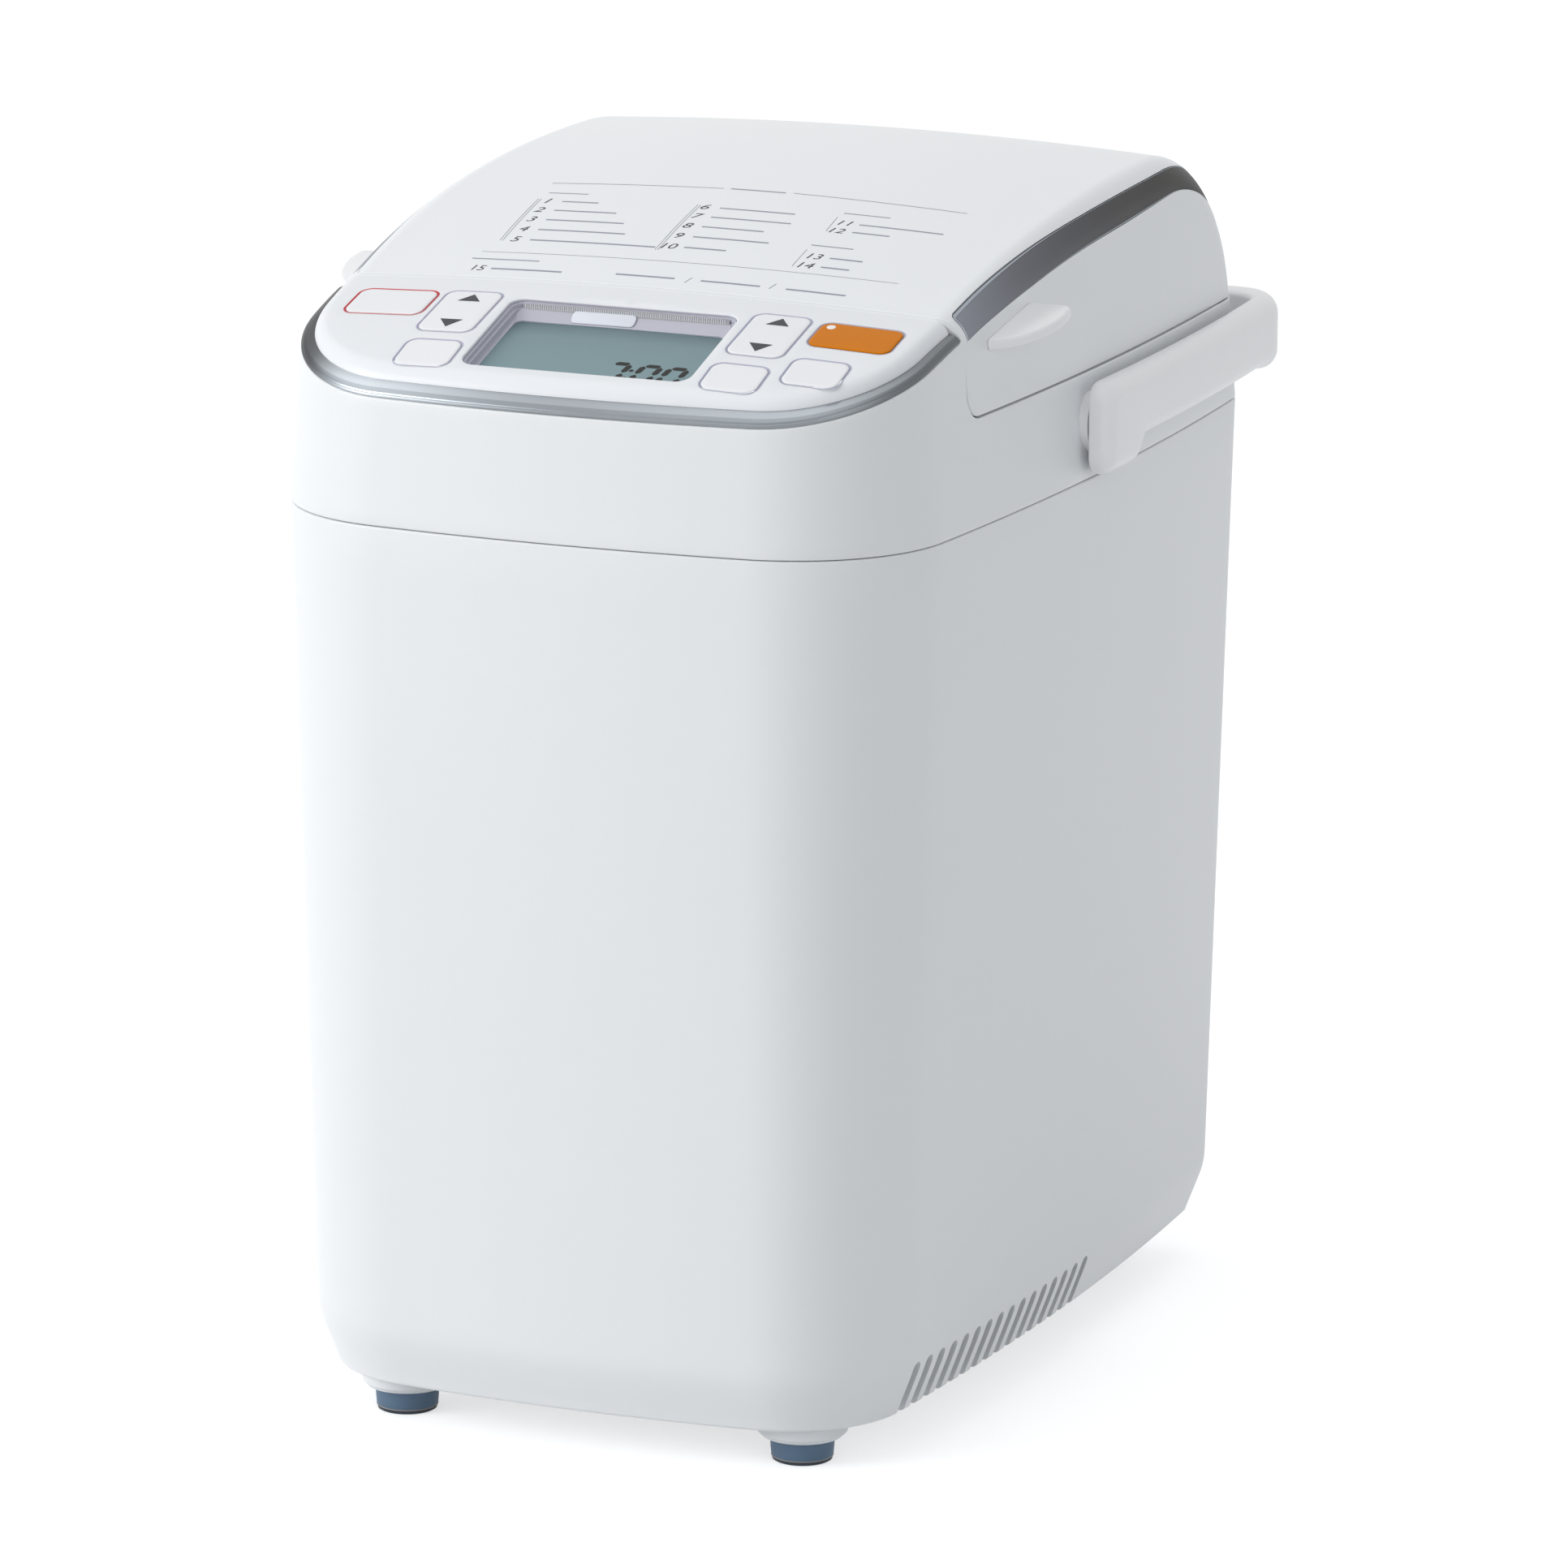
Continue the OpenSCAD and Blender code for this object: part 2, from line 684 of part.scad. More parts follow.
// Dome switches under the keys, one under each push key and two under each rocker
module key_switches() place() color("#33363a") {
  for (k = push_keys) on_board(k[0].x, k[0].y) dome_switch();
  for (k = rocker_keys, s = [-1, 1]) on_board(k[0].x, k[0].y + s * k[1].y * 0.27) dome_switch();
}
module on_board(x, y) {
  on_panel(0, board_y, board_drop) translate([x, (y - board_y) / cos(board_lean), 0]) children();
}
board_lean = asin((barrel_y - board_y) / panel_r);
module dome_switch() {
  translate([-3, -3, 0]) cube([6, 6, 1.2]);
  cylinder(r = 1.6, h = switch_h);
}
board_w = body_w - 44;
board_front_y = 11;
board_rear_y = panel_rear_y - 6;
module control_board() place() color("#2f6b4a") {
  intersection() {
    on_board(0, board_y)
      translate([-board_w / 2, board_front_y - board_y, -board_t])
        cube([board_w, board_rear_y - board_front_y, board_t - 0.02]);
    translate([0, 0, deck_z])
      linear_extrude(lid_top_z - deck_z) polygon(plan(upper_in(deck_z) + case_wall + 2));
  }
}
module display_bezel() place() color("#b9bcc8") {
  difference() {
    intersection() {
      on_panel(0, window_y)
        translate([0, 0, -glass_drop - 1.2])
          linear_extrude(20)
            soft_rect(window_w - 2 * fit_gap, window_d - 2 * fit_gap, window_corner - fit_gap);
      barrel(0.3);
    }
    on_panel(0, window_y)
      translate([0, 0, -20]) linear_extrude(40) soft_rect(window_w - 2.4, window_d - 2.4, 3.4);
  }
}
module display_glass() place() color("#8fa9a8") {
  on_panel(0, window_y, glass_drop + 0.2)
    translate([0, 0, -1])
      linear_extrude(1) soft_rect(window_w - 2.4 - 2 * fit_gap, window_d - 2.4 - 2 * fit_gap, 3.2);
}
display_t = board_drop - glass_drop - 1.8;
module display_module() place() color("#3c4044") {
  on_panel(0, window_y, glass_drop + 1.5)
    translate([0, 0, -display_t]) linear_extrude(display_t) square([window_w - 6, window_d - 6], center = true);
}

// ---- Lid ----
lid_z = lid_seam_z + lid_gap;
lid_front_y = panel_rear_y + 0.1;
lid_rear_y = body_d - upper_in(lid_seam_z);
function bezier(p, t) =
  pow(1 - t, 3) * p[0] + 3 * pow(1 - t, 2) * t * p[1] + 3 * (1 - t) * t * t * p[2] + pow(t, 3) * p[3];
function bezier_dir(p, t) =
  let (v = pow(1 - t, 2) * (p[1] - p[0]) + 2 * (1 - t) * t * (p[2] - p[1]) + t * t * (p[3] - p[2]))
  v / norm(v);
// Side view of the lid's middle: up from the panel, over the top and down the rear
lid_front_z = panel_z(0, panel_rear_y);
lid_front_rise = (barrel_y - panel_rear_y) / (lid_front_z - barrel_z) + 0.1;
lid_fore = [
  [lid_front_y, lid_front_z],
  [lid_front_y + 50, lid_front_z + 50 * lid_front_rise],
  [lid_top_y - 60, lid_top_z],
  [lid_top_y, lid_top_z]
];
lid_aft = [
  [lid_top_y, lid_top_z],
  [lid_top_y + 42, lid_top_z],
  [lid_rear_y, lid_z + 26],
  [lid_rear_y, lid_z]
];
fore_steps = 12;
aft_steps = 12;
stations = concat(
  [for (i = [0:fore_steps]) [0, i / fore_steps]],
  [for (i = [1:aft_steps]) [1, i / aft_steps]]
);
function line_at(s) = bezier(s[0] == 0 ? lid_fore : lid_aft, s[1]);
// Inward direction at a station, in side view
function inward(s) = let (v = bezier_dir(s[0] == 0 ? lid_fore : lid_aft, s[1])) [v.y, -v.x];
function mix(a, b, t) = a + (b - a) * t;
// The crown grows from the panel's own at the front to the full crown, then dies out behind
function station_crown(s) =
  s[0] == 0 ? mix(crown_drop(90), lid_crown, s[1]) : mix(lid_crown, 0.4, s[1]);
function station_edge(s) = s[0] == 0 ? mix(5, lid_edge_r, min(1, 2 * s[1])) : mix(lid_edge_r, lid_rear_r, s[1]);
trim_start = 46;
strip_over = 3.2;
// Point on the lid's skin: station s, u from 0 in the middle to 1 at the trim's upper edge,
// to 2 at its lower edge; sunk is the depth under the skin
function lid_point(s, u, sunk = 0) =
  let (
    edge = station_edge(s),
    turn = u <= 1 ? trim_start * max(0, (u - 0.6) / 0.4) : mix(trim_start, 90, min(1, (u - 1) / 0.7)),
    extra = u > 1.7 ? strip_over * (u - 1.7) / 0.3 : 0,
    c = line_at(s),
    side = side_x(c.x, 0) - upper_in(c.y),
    flat = side - edge,
    x = u < 0.6 ? flat * u / 0.6 : flat + (edge - sunk) * sin(turn),
    depth = station_crown(s) * pow(min(x, flat) / flat, 2) + sunk + (edge - sunk) * (1 - cos(turn)) + extra,
    p = c + depth * inward(s)
  )
  [x + (turn > 0 ? side_x(p.x) - upper_in(p.y) - side : 0), p.x, p.y];
cover_u = [-1, -0.9, -0.8, -0.7, -0.6, -0.45, -0.3, -0.15, 0, 0.15, 0.3, 0.45, 0.6, 0.7, 0.8, 0.9, 1];
function flip(p, sign) = [sign * p.x, p.y, p.z];
function lid_row(s, us, sunk = 0) = [for (u = us) flip(lid_point(s, abs(u), sunk), u < 0 ? -1 : 1)];
module lid_cover() place() color(white) {
  difference() {
    grid_shell(
      [for (s = stations) lid_row(s, cover_u)],
      [for (s = stations) lid_row(s, cover_u, lid_wall)]
    );
    grille_place() linear_extrude(20, center = true) grille_slots(0);
    hinge_notches();
  }
}
trim_u = [1.015, 1.2, 1.4, 1.6, 1.7, 1.85, 1.97];
module lid_trim() {
  grid_shell(
    [for (s = stations) lid_row(s, trim_u, 0.25)],
    [for (s = stations) lid_row(s, trim_u, lid_wall)]
  );
}
module lid_trim_right() place() color("#55585c") lid_trim();
module lid_trim_left() place() color("#55585c") mirror([1, 0, 0]) lid_trim();

// Side panel of the lid, between the trim's lower edge and the seam
side_front_y = panel_rear_y + 1.6;
side_corner_r = 8;
side_rows = 3;
function side_base(t) =
  let (
    quarter = 0.2,
    c = [side_front_y + side_corner_r, lid_z + side_corner_r],
    a = 90 * min(1, t / quarter)
  )
  t <= quarter
    ? c - side_corner_r * [cos(a), sin(a)]
    : [mix(c.x, lid_rear_y - lid_rear_r - 8, (t - quarter) / (1 - quarter)), lid_z];
function side_point(p, sunk) = [side_x(p.x) - upper_in(p.y) - sunk, p.x, p.y];
function side_column(i, sunk) =
  let (
    top = lid_point(stations[i], 2),
    base = side_base(i / (len(stations) - 1))
  )
  [for (k = [0:side_rows]) side_point(mix([top.y, top.z], base, k / side_rows), sunk)];
module lid_side() {
  grid_shell(
    [for (i = [0:len(stations) - 1]) side_column(i, 0)],
    [for (i = [0:len(stations) - 1]) side_column(i, lid_wall)]
  );
}
module lid_side_right() place() color(white) lid_side();
module lid_side_left() place() color(white) mirror([1, 0, 0]) lid_side();

// Finger tabs that stand out from both sides of the lid
tab_y = 101;
tab_z = 334.5;
tab_slope = 11;
module lid_tabs() place() color(white) both_sides() lid_tab();
module lid_tab() {
  root_x = side_x(tab_y) - upper_in(tab_z);
  difference() {
    translate([root_x - 1, tab_y, tab_z])
      rotate([tab_slope, 0, 0])
        translate([0, 0, -tab_t / 2])
          hull() {
            linear_extrude(tab_t) tab_outline(1);
            translate([0, 0, 1]) linear_extrude(tab_t - 2) tab_outline(0);
          }
    // The tab seats on the curved side
    translate([0, 0, tab_z - 30]) linear_extrude(60) polygon(plan(upper_in(tab_z) - 0.35));
  }
}
module tab_outline(inset) {
  back = tab_len / 2 - inset;
  intersection() {
    translate([-3, -back]) square([tab_out + 5 - inset, 2 * back]);
    translate([-3, back - 6])
      scale([1, (2 * tab_len - 14) / (2 * (tab_out + 4))]) circle(tab_out + 4 - inset, $fn = 64);
  }
}

// ---- Underside of the lid, hinge and steam grille ----
frame_t = 2.4;
liner_t = 1;
liner_w = chamber_w - 6;
liner_d = chamber_d - 8;
liner_top_z = 341;
liner_r = chamber_corner_r;
frame_front_y = panel_rear_y + 0.6;
frame_rear_in = 9;
gasket_w = 4;
gasket_h = 2.2;
frame_wall_h = 22;
module lid_frame() place() color(white) {
  difference() {
    union() {
      // Plate behind the seam
      intersection() {
        translate([0, 0, lid_z]) linear_extrude(frame_t) polygon(plan(upper_in(lid_z) + lid_wall + 0.6));
        translate([-body_w, frame_front_y, 0])
          cube([2 * body_w, lid_rear_y - frame_rear_in - frame_front_y, 2 * lid_top_z]);
      }
      // Front wall, which faces the rear of the panel
      intersection() {
        translate([0, frame_front_y + frame_t, lid_z])
          rotate([90, 0, 0])
            linear_extrude(frame_t)
              polygon([
                [-side_x(frame_front_y) + 9, 0],
                [side_x(frame_front_y) - 9, 0],
                [side_x(frame_front_y) - 11, frame_wall_h],
                [-side_x(frame_front_y) + 11, frame_wall_h]
              ]);
        barrel(lid_wall + 2);
      }
    }
    translate([0, chamber_y, lid_z - over])
      linear_extrude(frame_t + 2 * over)
        soft_rect(liner_w + 2 * fit_gap, liner_d + 2 * fit_gap, liner_r);
  }
}
// Drawn metal dome over the bread, with a flange under the frame's edge
module lid_liner() place() color(silver) {
  difference() {
    union() {
      translate([0, chamber_y, lid_z])
        linear_extrude(liner_top_z - lid_z) soft_rect(liner_w, liner_d, liner_r - fit_gap);
    }
    translate([0, chamber_y, lid_z - over])
      linear_extrude(liner_top_z - lid_z + over - liner_t)
        soft_rect(liner_w - 2 * liner_t, liner_d - 2 * liner_t, liner_r - liner_t);
    // Steam holes beneath the grille
    for (x = [-2:2])
      translate([x * 9, chamber_y + liner_d / 2 - 30, liner_top_z - 2 * liner_t])
        cylinder(r = 2.5, h = 4 * liner_t);
  }
}
// Soft ring that closes the chamber, above its rim
module lid_gasket() place() color("#c9cdd0") {
  play = liner_t + fit_gap;
  translate([0, chamber_y, rim_z + clear])
    difference() {
      linear_extrude(gasket_h)
        soft_rect(liner_w - 2 * play, liner_d - 2 * play, liner_r - play);
      translate([0, 0, -over])
        linear_extrude(gasket_h + 2 * over)
          soft_rect(liner_w - 2 * gasket_w, liner_d - 2 * gasket_w, liner_r - gasket_w);
    }
}
grille_slot_w = 3.4;
grille_slot_l = 12;
grille_pitch = 6.3;
grille_count = 9;
// Share of the lid's rear curve at which the slots lie, and their lean against it
grille_share = 0.236;
grille_lean = 8;
grille_c = line_at([1, grille_share]);
grille_v = line_at([1, grille_share + eps]) - grille_c;
module grille_place() {
  translate([0, grille_c.x, grille_c.y - 0.65])
    rotate([-atan(-grille_v.y / grille_v.x) - grille_lean, 0, 0]) children();
}
module grille_slots(shrink) {
  for (i = [0:grille_count - 1])
    translate([(i - (grille_count - 1) / 2) * grille_pitch, 0])
      square([grille_slot_w - 2 * shrink, grille_slot_l - 2 * shrink], center = true);
}
// Grid behind the slots through which the steam leaves
module steam_grille() place() color(pale) {
  grille_place()
    translate([0, 0, -lid_wall - 4.1])
      linear_extrude(1.6)
        difference() {
          square([grille_count * grille_pitch + 8, grille_slot_l + 8], center = true);
          for (i = [0:grille_count - 2])
            translate([(i - (grille_count - 2) / 2) * grille_pitch, 0])
              square([1.6, grille_slot_l], center = true);
        }
}
hinge_y = lid_rear_y - 1;
hinge_z = lid_z + 3.4;
hinge_pin_r = 1.5;
knuckle_r = 3.4;
hinge_x = 62;
knuckle_l = 12;
hinge_lug_l = 4;
hinge_reach = knuckle_l / 2 + clear + hinge_lug_l;
pin_gap = 0.05;
module hinge_place() {
  for (x = [-hinge_x, hinge_x]) translate([x, hinge_y, hinge_z]) rotate([0, 90, 0]) children();
}
// Barrels on the lid, with arms that reach the frame
module hinge_knuckles() place() color(white) {
  difference() {
    union() {
      hinge_place() cylinder(r = knuckle_r, h = knuckle_l, center = true);
      for (x = [-hinge_x, hinge_x])
        translate([x - knuckle_l / 2, hinge_y - 14, hinge_z - 1]) cube([knuckle_l, 14, 3.2]);
      for (x = [-hinge_x, hinge_x])
        translate([x - knuckle_l / 2, hinge_y - 14, lid_z + frame_t]) cube([knuckle_l, 5.6, 2]);
    }
    hinge_place() cylinder(r = hinge_pin_r + running_gap, h = knuckle_l + 2, center = true);
  }
}
module hinge_brackets() place() color(white) {
  difference() {
    for (x = [-hinge_x, hinge_x], s = [-1, 1])
      translate([x + s * (hinge_reach - hinge_lug_l / 2), 0, 0])
        union() {
          translate([0, hinge_y, hinge_z])
            rotate([0, 90, 0]) cylinder(r = knuckle_r, h = hinge_lug_l, center = true);
          translate([-hinge_lug_l / 2, hinge_y - knuckle_r, lid_seam_z])
            cube([hinge_lug_l, knuckle_r + 0.9, hinge_z - lid_seam_z]);
        }
    hinge_place() cylinder(r = hinge_pin_r + pin_gap, h = 60, center = true);
  }
}
module hinge_pins() place() color(silver) {
  hinge_place() cylinder(r = hinge_pin_r, h = 2 * hinge_reach, center = true);
}
// Room in the lid's rear wall for the hinges
module hinge_notches() {
  for (x = [-hinge_x, hinge_x])
    translate([x, hinge_y, lid_z + (hinge_z - lid_z + knuckle_r + 1) / 2 - over])
      cube([2 * hinge_reach + 2, 16, hinge_z - lid_z + knuckle_r + 1 + 2 * over], center = true);
}

// ---- Carry handle ----
pivot_in = upper_in(pivot_z);
arm_corner_r = 10;
arm_end_y = body_d + grip_gap - pivot_in - arm_corner_r;
grip_y = arm_end_y + arm_corner_r;
overall_d = grip_y + grip_t;
function arm_x(y) = side_x(y) - pivot_in + handle_gap;
paddle_len = 24;
paddle_slant = 9;
arm_start_y = pivot_y - paddle_front;
// Each station: inner point, outer point, lower and upper edge of the section
end_steps = [[0, 8], [0.8, 4.6], [2.4, 2], [5, 0.5], [7.5, 0]];
function arm_station(y, bottom, shrink) = [
  [arm_x(y) + shrink * 0.22, y], [arm_x(y) + arm_t - shrink * 0.3, y],
  bottom + shrink, arm_top_z - shrink * 0.75
];
arm_stations = concat(
  [for (e = end_steps) arm_station(arm_start_y + e[0], paddle_bottom_z, e[1])],
  [for (t = [0.5, 1]) arm_station(arm_start_y + mix(8, paddle_len, t), paddle_bottom_z, 0)],
  [for (t = [0.35, 0.7, 1])
    arm_station(
      arm_start_y + paddle_len + paddle_slant * t, mix(paddle_bottom_z, arm_bottom_z, t * t * (3 - 2 * t)), 0
    )],
  [for (t = [0.25, 0.5, 0.75])
    arm_station(mix(arm_start_y + paddle_len + paddle_slant, arm_end_y, t), arm_bottom_z, 0)]
);
grip_bottom_z = 284.5;
corner_stations = [
  for (i = [0:7])
    let (a = 90 * i / 7, c = [arm_x(arm_end_y) - arm_corner_r, arm_end_y])
    [
      c + arm_corner_r * [cos(a), sin(a)],
      c + [(arm_corner_r + arm_t) * cos(a), (arm_corner_r + grip_t) * sin(a)],
      mix(arm_bottom_z, grip_bottom_z, sin(a)), arm_top_z
    ]
];
half_stations = concat(arm_stations, corner_stations);
function flip_station(s) = [[-s[0].x, s[0].y], [-s[1].x, s[1].y], s[2], s[3]];
handle_stations = concat(
  half_stations, [for (i = [len(half_stations) - 1:-1:0]) flip_station(half_stations[i])]
);
section_turn = 4;
// Rounded section of the handle at a station; its outer edges are rounder
function handle_section(s) =
  let (
    t = norm(s[1] - s[0]),
    h = s[3] - s[2],
    u = (s[1] - s[0]) / t,
    r_in = min(1.8, t * 0.3),
    r_out = min(t - r_in - 0.4, 6, h * 0.4),
    corners = [[t - r_out, h - r_out, 0, r_out], [r_in, h - r_in, 90, r_in],
      [r_in, r_in, 180, r_in], [t - r_out, r_out, 270, r_out]]
  )
  [
    for (c = corners, k = [0:section_turn])
      let (
        a = c[2] + 90 * k / section_turn,
        p = [c[0], c[1]] + c[3] * [cos(a), sin(a)],
        q = s[0] + u * p.x
      )
      [q.x, q.y, s[2] + p.y]
  ];
pin_len = 5.4;
module carry_handle() place() color(white) {
  difference() {
    loft([for (i = [len(handle_stations) - 1:-1:0]) handle_section(handle_stations[i])]);
    for (m = [0, 1])
      mirror([m, 0, 0])
        translate([arm_x(pivot_y) - 2, pivot_y, pivot_z])
          rotate([0, 90, 0]) cylinder(r = pivot_r + running_gap, h = pin_len + 2 + clear);
  }
}
// Discs in the case's sides, with the pins on which the handle turns
module handle_pivots() place() color(white) {
  wall_x = side_x(pivot_y) - pivot_in;
  both_sides()
    translate([0, pivot_y, pivot_z]) rotate([0, 90, 0]) {
      translate([0, 0, wall_x - case_wall - 3])
        cylinder(r = pivot_disc_r, h = arm_x(pivot_y) - clear - wall_x + case_wall + 3);
      translate([0, 0, wall_x - case_wall - 3]) cylinder(r = pivot_flange_r, h = 2.2);
      translate([0, 0, wall_x]) cylinder(r = pivot_r, h = arm_x(pivot_y) + pin_len - wall_x);
    }
}

// ---- Baking chamber ----
rim_z = lid_seam_z - 0.4;
chamber_out_w = chamber_w + 2 * sheet_t;
chamber_out_d = chamber_d + 2 * sheet_t;
module at_chamber(z) {
  translate([0, chamber_y, z]) children();
}
socket_hole_r = 9;
chamber_top_z = deck_z - 4;
module chamber() place() color(silver) {
  difference() {
    union() {
      at_chamber(chamber_floor_z)
        linear_extrude(chamber_top_z - chamber_floor_z)
          soft_rect(chamber_out_w, chamber_out_d, chamber_corner_r + sheet_t);
      // Flange that hangs the chamber under the deck
      at_chamber(chamber_top_z - sheet_t)
        linear_extrude(sheet_t)
          soft_rect(chamber_out_w + 12, min(chamber_out_d + 12, 2 * (chamber_y - panel_rear_y)), chamber_corner_r + 7);
    }
    at_chamber(chamber_floor_z + sheet_t)
      linear_extrude(300) soft_rect(chamber_w, chamber_d, chamber_corner_r);
    at_chamber(chamber_floor_z - over) cylinder(r = socket_hole_r, h = 10);
    for (s = [-1, 1])
      translate([-chamber_w / 2 - 10, chamber_y + heater_tail_y + s * heater_tail_gap, heater_z])
        rotate([0, 90, 0]) cylinder(r = heater_r + 0.5, h = 20);
  }
}
// Plastic collar between the chamber and the deck
module chamber_rim() place() color(pale) {
  difference() {
    union() {
      at_chamber(chamber_top_z + fit_gap)
        linear_extrude(rim_z - chamber_top_z - fit_gap)
          soft_rect(chamber_hole_w - 2 * fit_gap, chamber_hole_d - 2 * fit_gap, chamber_corner_r + 5);
    }
    at_chamber(chamber_top_z - over)
      linear_extrude(30) soft_rect(chamber_w + 1, chamber_d + 1, chamber_corner_r + 0.5);
  }
}
heater_r = 3.2;
heater_z = chamber_floor_z + 26;
heater_in = 7.5;
heater_bend_r = 7;
heater_tail_y = -30;
heater_tail_gap = 12;
module bend(r, a) {
  rotate(a) rotate_extrude(angle = 90) translate([r, 0]) circle(heater_r);
}
// Tubular element that runs round the foot of the chamber and leaves it at the left
module heater() place() color("#6d6f72") {
  w = chamber_w - 2 * heater_in;
  d = chamber_d - 2 * heater_in;
  r = chamber_corner_r - heater_in + 4;
  at_chamber(heater_z) {
    for (s = [-1, 1])
      translate([0, s * d / 2, 0]) rotate([0, 90, 0]) cylinder(r = heater_r, h = w - 2 * r, center = true);
    translate([w / 2, 0, 0]) rotate([90, 0, 0]) cylinder(r = heater_r, h = d - 2 * r, center = true);
    for (q = [[1, 1, 0], [-1, 1, 90], [-1, -1, 180], [1, -1, 270]])
      translate([q[0] * (w / 2 - r), q[1] * (d / 2 - r), 0]) bend(r, q[2]);
    for (s = [-1, 1]) {
      from = heater_tail_y + s * (heater_tail_gap + heater_bend_r);
      to = s * (d / 2 - r);
      translate([-w / 2, (from + to) / 2, 0])
        rotate([90, 0, 0]) cylinder(r = heater_r, h = abs(to - from), center = true);
      translate([-w / 2 - heater_bend_r, from, 0]) bend(heater_bend_r, s > 0 ? 270 : 0);
      translate([-w / 2 - heater_bend_r - 12, from - s * heater_bend_r, 0])
        rotate([0, 90, 0]) cylinder(r = heater_r, h = 12);
    }
  }
}
sensor_x = 30;
sensor_h = 4;
sensor_z = (chamber_floor_z + chamber_top_z) / 2;
// Probe that touches the front wall of the chamber
module temperature_sensor() place() color("#8a8d90") {
  translate([sensor_x, chamber_front_y - sheet_t - sensor_h - 0.2, sensor_z]) {
    rotate([-90, 0, 0]) cylinder(r = 5, h = sensor_h);
    translate([0, -sensor_h, 0]) rotate([-90, 0, 0]) cylinder(r = 3, h = sensor_h + eps);
  }
}

// ---- Drive ----
base_top_z = base_z + base_t;
pulley_z = 40;
pulley_t = belt_w + 4;
belt_t = 1.6;
groove_r = 1.4;
flange_t = 1.6;
motor_h = 78;
chassis_z = 74;
chassis_t = 2;
bearing_r = 9;
bearing_h = 22;
bearing_z = chassis_z - bearing_h + 8;
module chassis() place() color("#c3c6c9") {
  leg_x = chamber_w / 2 - 14;
  difference() {
    // Its front corners follow the corners of the case
    intersection() {
      translate([0, 0, base_top_z]) linear_extrude(chamber_floor_z) polygon(plan(base_in + 1));
      union() {
      translate([-leg_x - 8, chassis_front_y, chassis_z])
        cube([2 * leg_x + 16, chassis_rear_y - chassis_front_y, chassis_t]);
      // Four folded legs that stand on the base
      for (x = [-1, 1], y = [chassis_front_y, chassis_rear_y - chassis_leg_d])
        translate([x > 0 ? leg_x + 8 - chassis_t : -leg_x - 8, y, base_top_z])
          cube([chassis_t, chassis_leg_d, chassis_z - base_top_z + eps]);
      // Posts under the chamber's floor
      for (x = [-1, 1], y = [-1, 1])
        translate([x * 50, chamber_y + y * 55, chassis_z + chassis_t - eps])
          cylinder(r = 4, h = chamber_floor_z - chassis_z - chassis_t);
      }
    }
    translate([0, chamber_y, chassis_z - over]) cylinder(r = bearing_r + fit_gap, h = 10);
    translate([0, motor_y, chassis_z - over]) cylinder(r = shaft_r + 6, h = 10);
  }
}
module drive_bearing() place() color("#b08d57") {
  at_chamber(bearing_z)
    difference() {
      union() {
        cylinder(r = bearing_r, h = bearing_h);
        translate([0, 0, chassis_z - bearing_z - 2.6]) cylinder(r = bearing_r + 5, h = 2.4);
      }
      translate([0, 0, -over]) cylinder(r = shaft_r + running_gap, h = bearing_h + 2 * over);
    }
}
coupling_z = chamber_floor_z + sheet_t + 4;
coupling_h = 12;
coupling_r = 8;
module drive_shaft() place() color(silver) {
  at_chamber(pulley_z - 4) cylinder(r = shaft_r, h = coupling_z + 6 - pulley_z + 4);
}
// Two-armed driver inside the chamber that turns the pan's shaft
module drive_coupling() place() color("#8d9094") {
  at_chamber(coupling_z)
    difference() {
      union() {
        cylinder(r = coupling_r, h = 7);
        for (a = [0, 180]) rotate(a) translate([coupling_r - 3, -2.5, 0]) cube([6, 5, coupling_h]);
      }
      translate([0, 0, -over]) cylinder(r = shaft_r + pin_gap, h = 6 + over);
    }
}
// A pulley with rounded tooth gaps, or plain where teeth is 0
module pulley(r, teeth) {
  linear_extrude(pulley_t)
    difference() {
      circle(r);
      for (i = [0:1:teeth - 1]) rotate(i * 360 / teeth) translate([r, 0]) circle(groove_r, $fn = 16);
    }
  for (z = [0, pulley_t - flange_t]) translate([0, 0, z]) cylinder(r = r + 2.4, h = flange_t);
}
module drive_pulley() place() color("#4a4d50") {
  at_chamber(pulley_z)
    difference() {
      pulley(pulley_big_r, 44);
      translate([0, 0, -over]) cylinder(r = shaft_r + pin_gap, h = pulley_t + 2 * over);
      for (a = [0:60:300])
        rotate(a) translate([pulley_big_r * 0.58, 0, -over]) cylinder(r = 9, h = pulley_t + 2 * over);
    }
}
module motor_pulley() place() color("#8d9094") {
  translate([0, motor_y, pulley_z]) {
    pulley(pulley_small_r, 10);
    translate([0, 0, pulley_t - eps]) cylinder(r = shaft_r, h = chassis_z + chassis_t + 14 - pulley_z - pulley_t);
  }
}
belt_lean = asin((pulley_big_r - pulley_small_r) / (chamber_y - motor_y));
module around_pulleys(gap) {
  r0 = pulley_small_r + gap;
  r1 = pulley_big_r + gap;
  translate([0, motor_y]) circle(r0);
  translate([0, chamber_y]) circle(r1);
  polygon([
    [r0 * cos(belt_lean), motor_y - r0 * sin(belt_lean)],
    [r1 * cos(belt_lean), chamber_y - r1 * sin(belt_lean)],
    [-r1 * cos(belt_lean), chamber_y - r1 * sin(belt_lean)],
    [-r0 * cos(belt_lean), motor_y - r0 * sin(belt_lean)]
  ]);
}
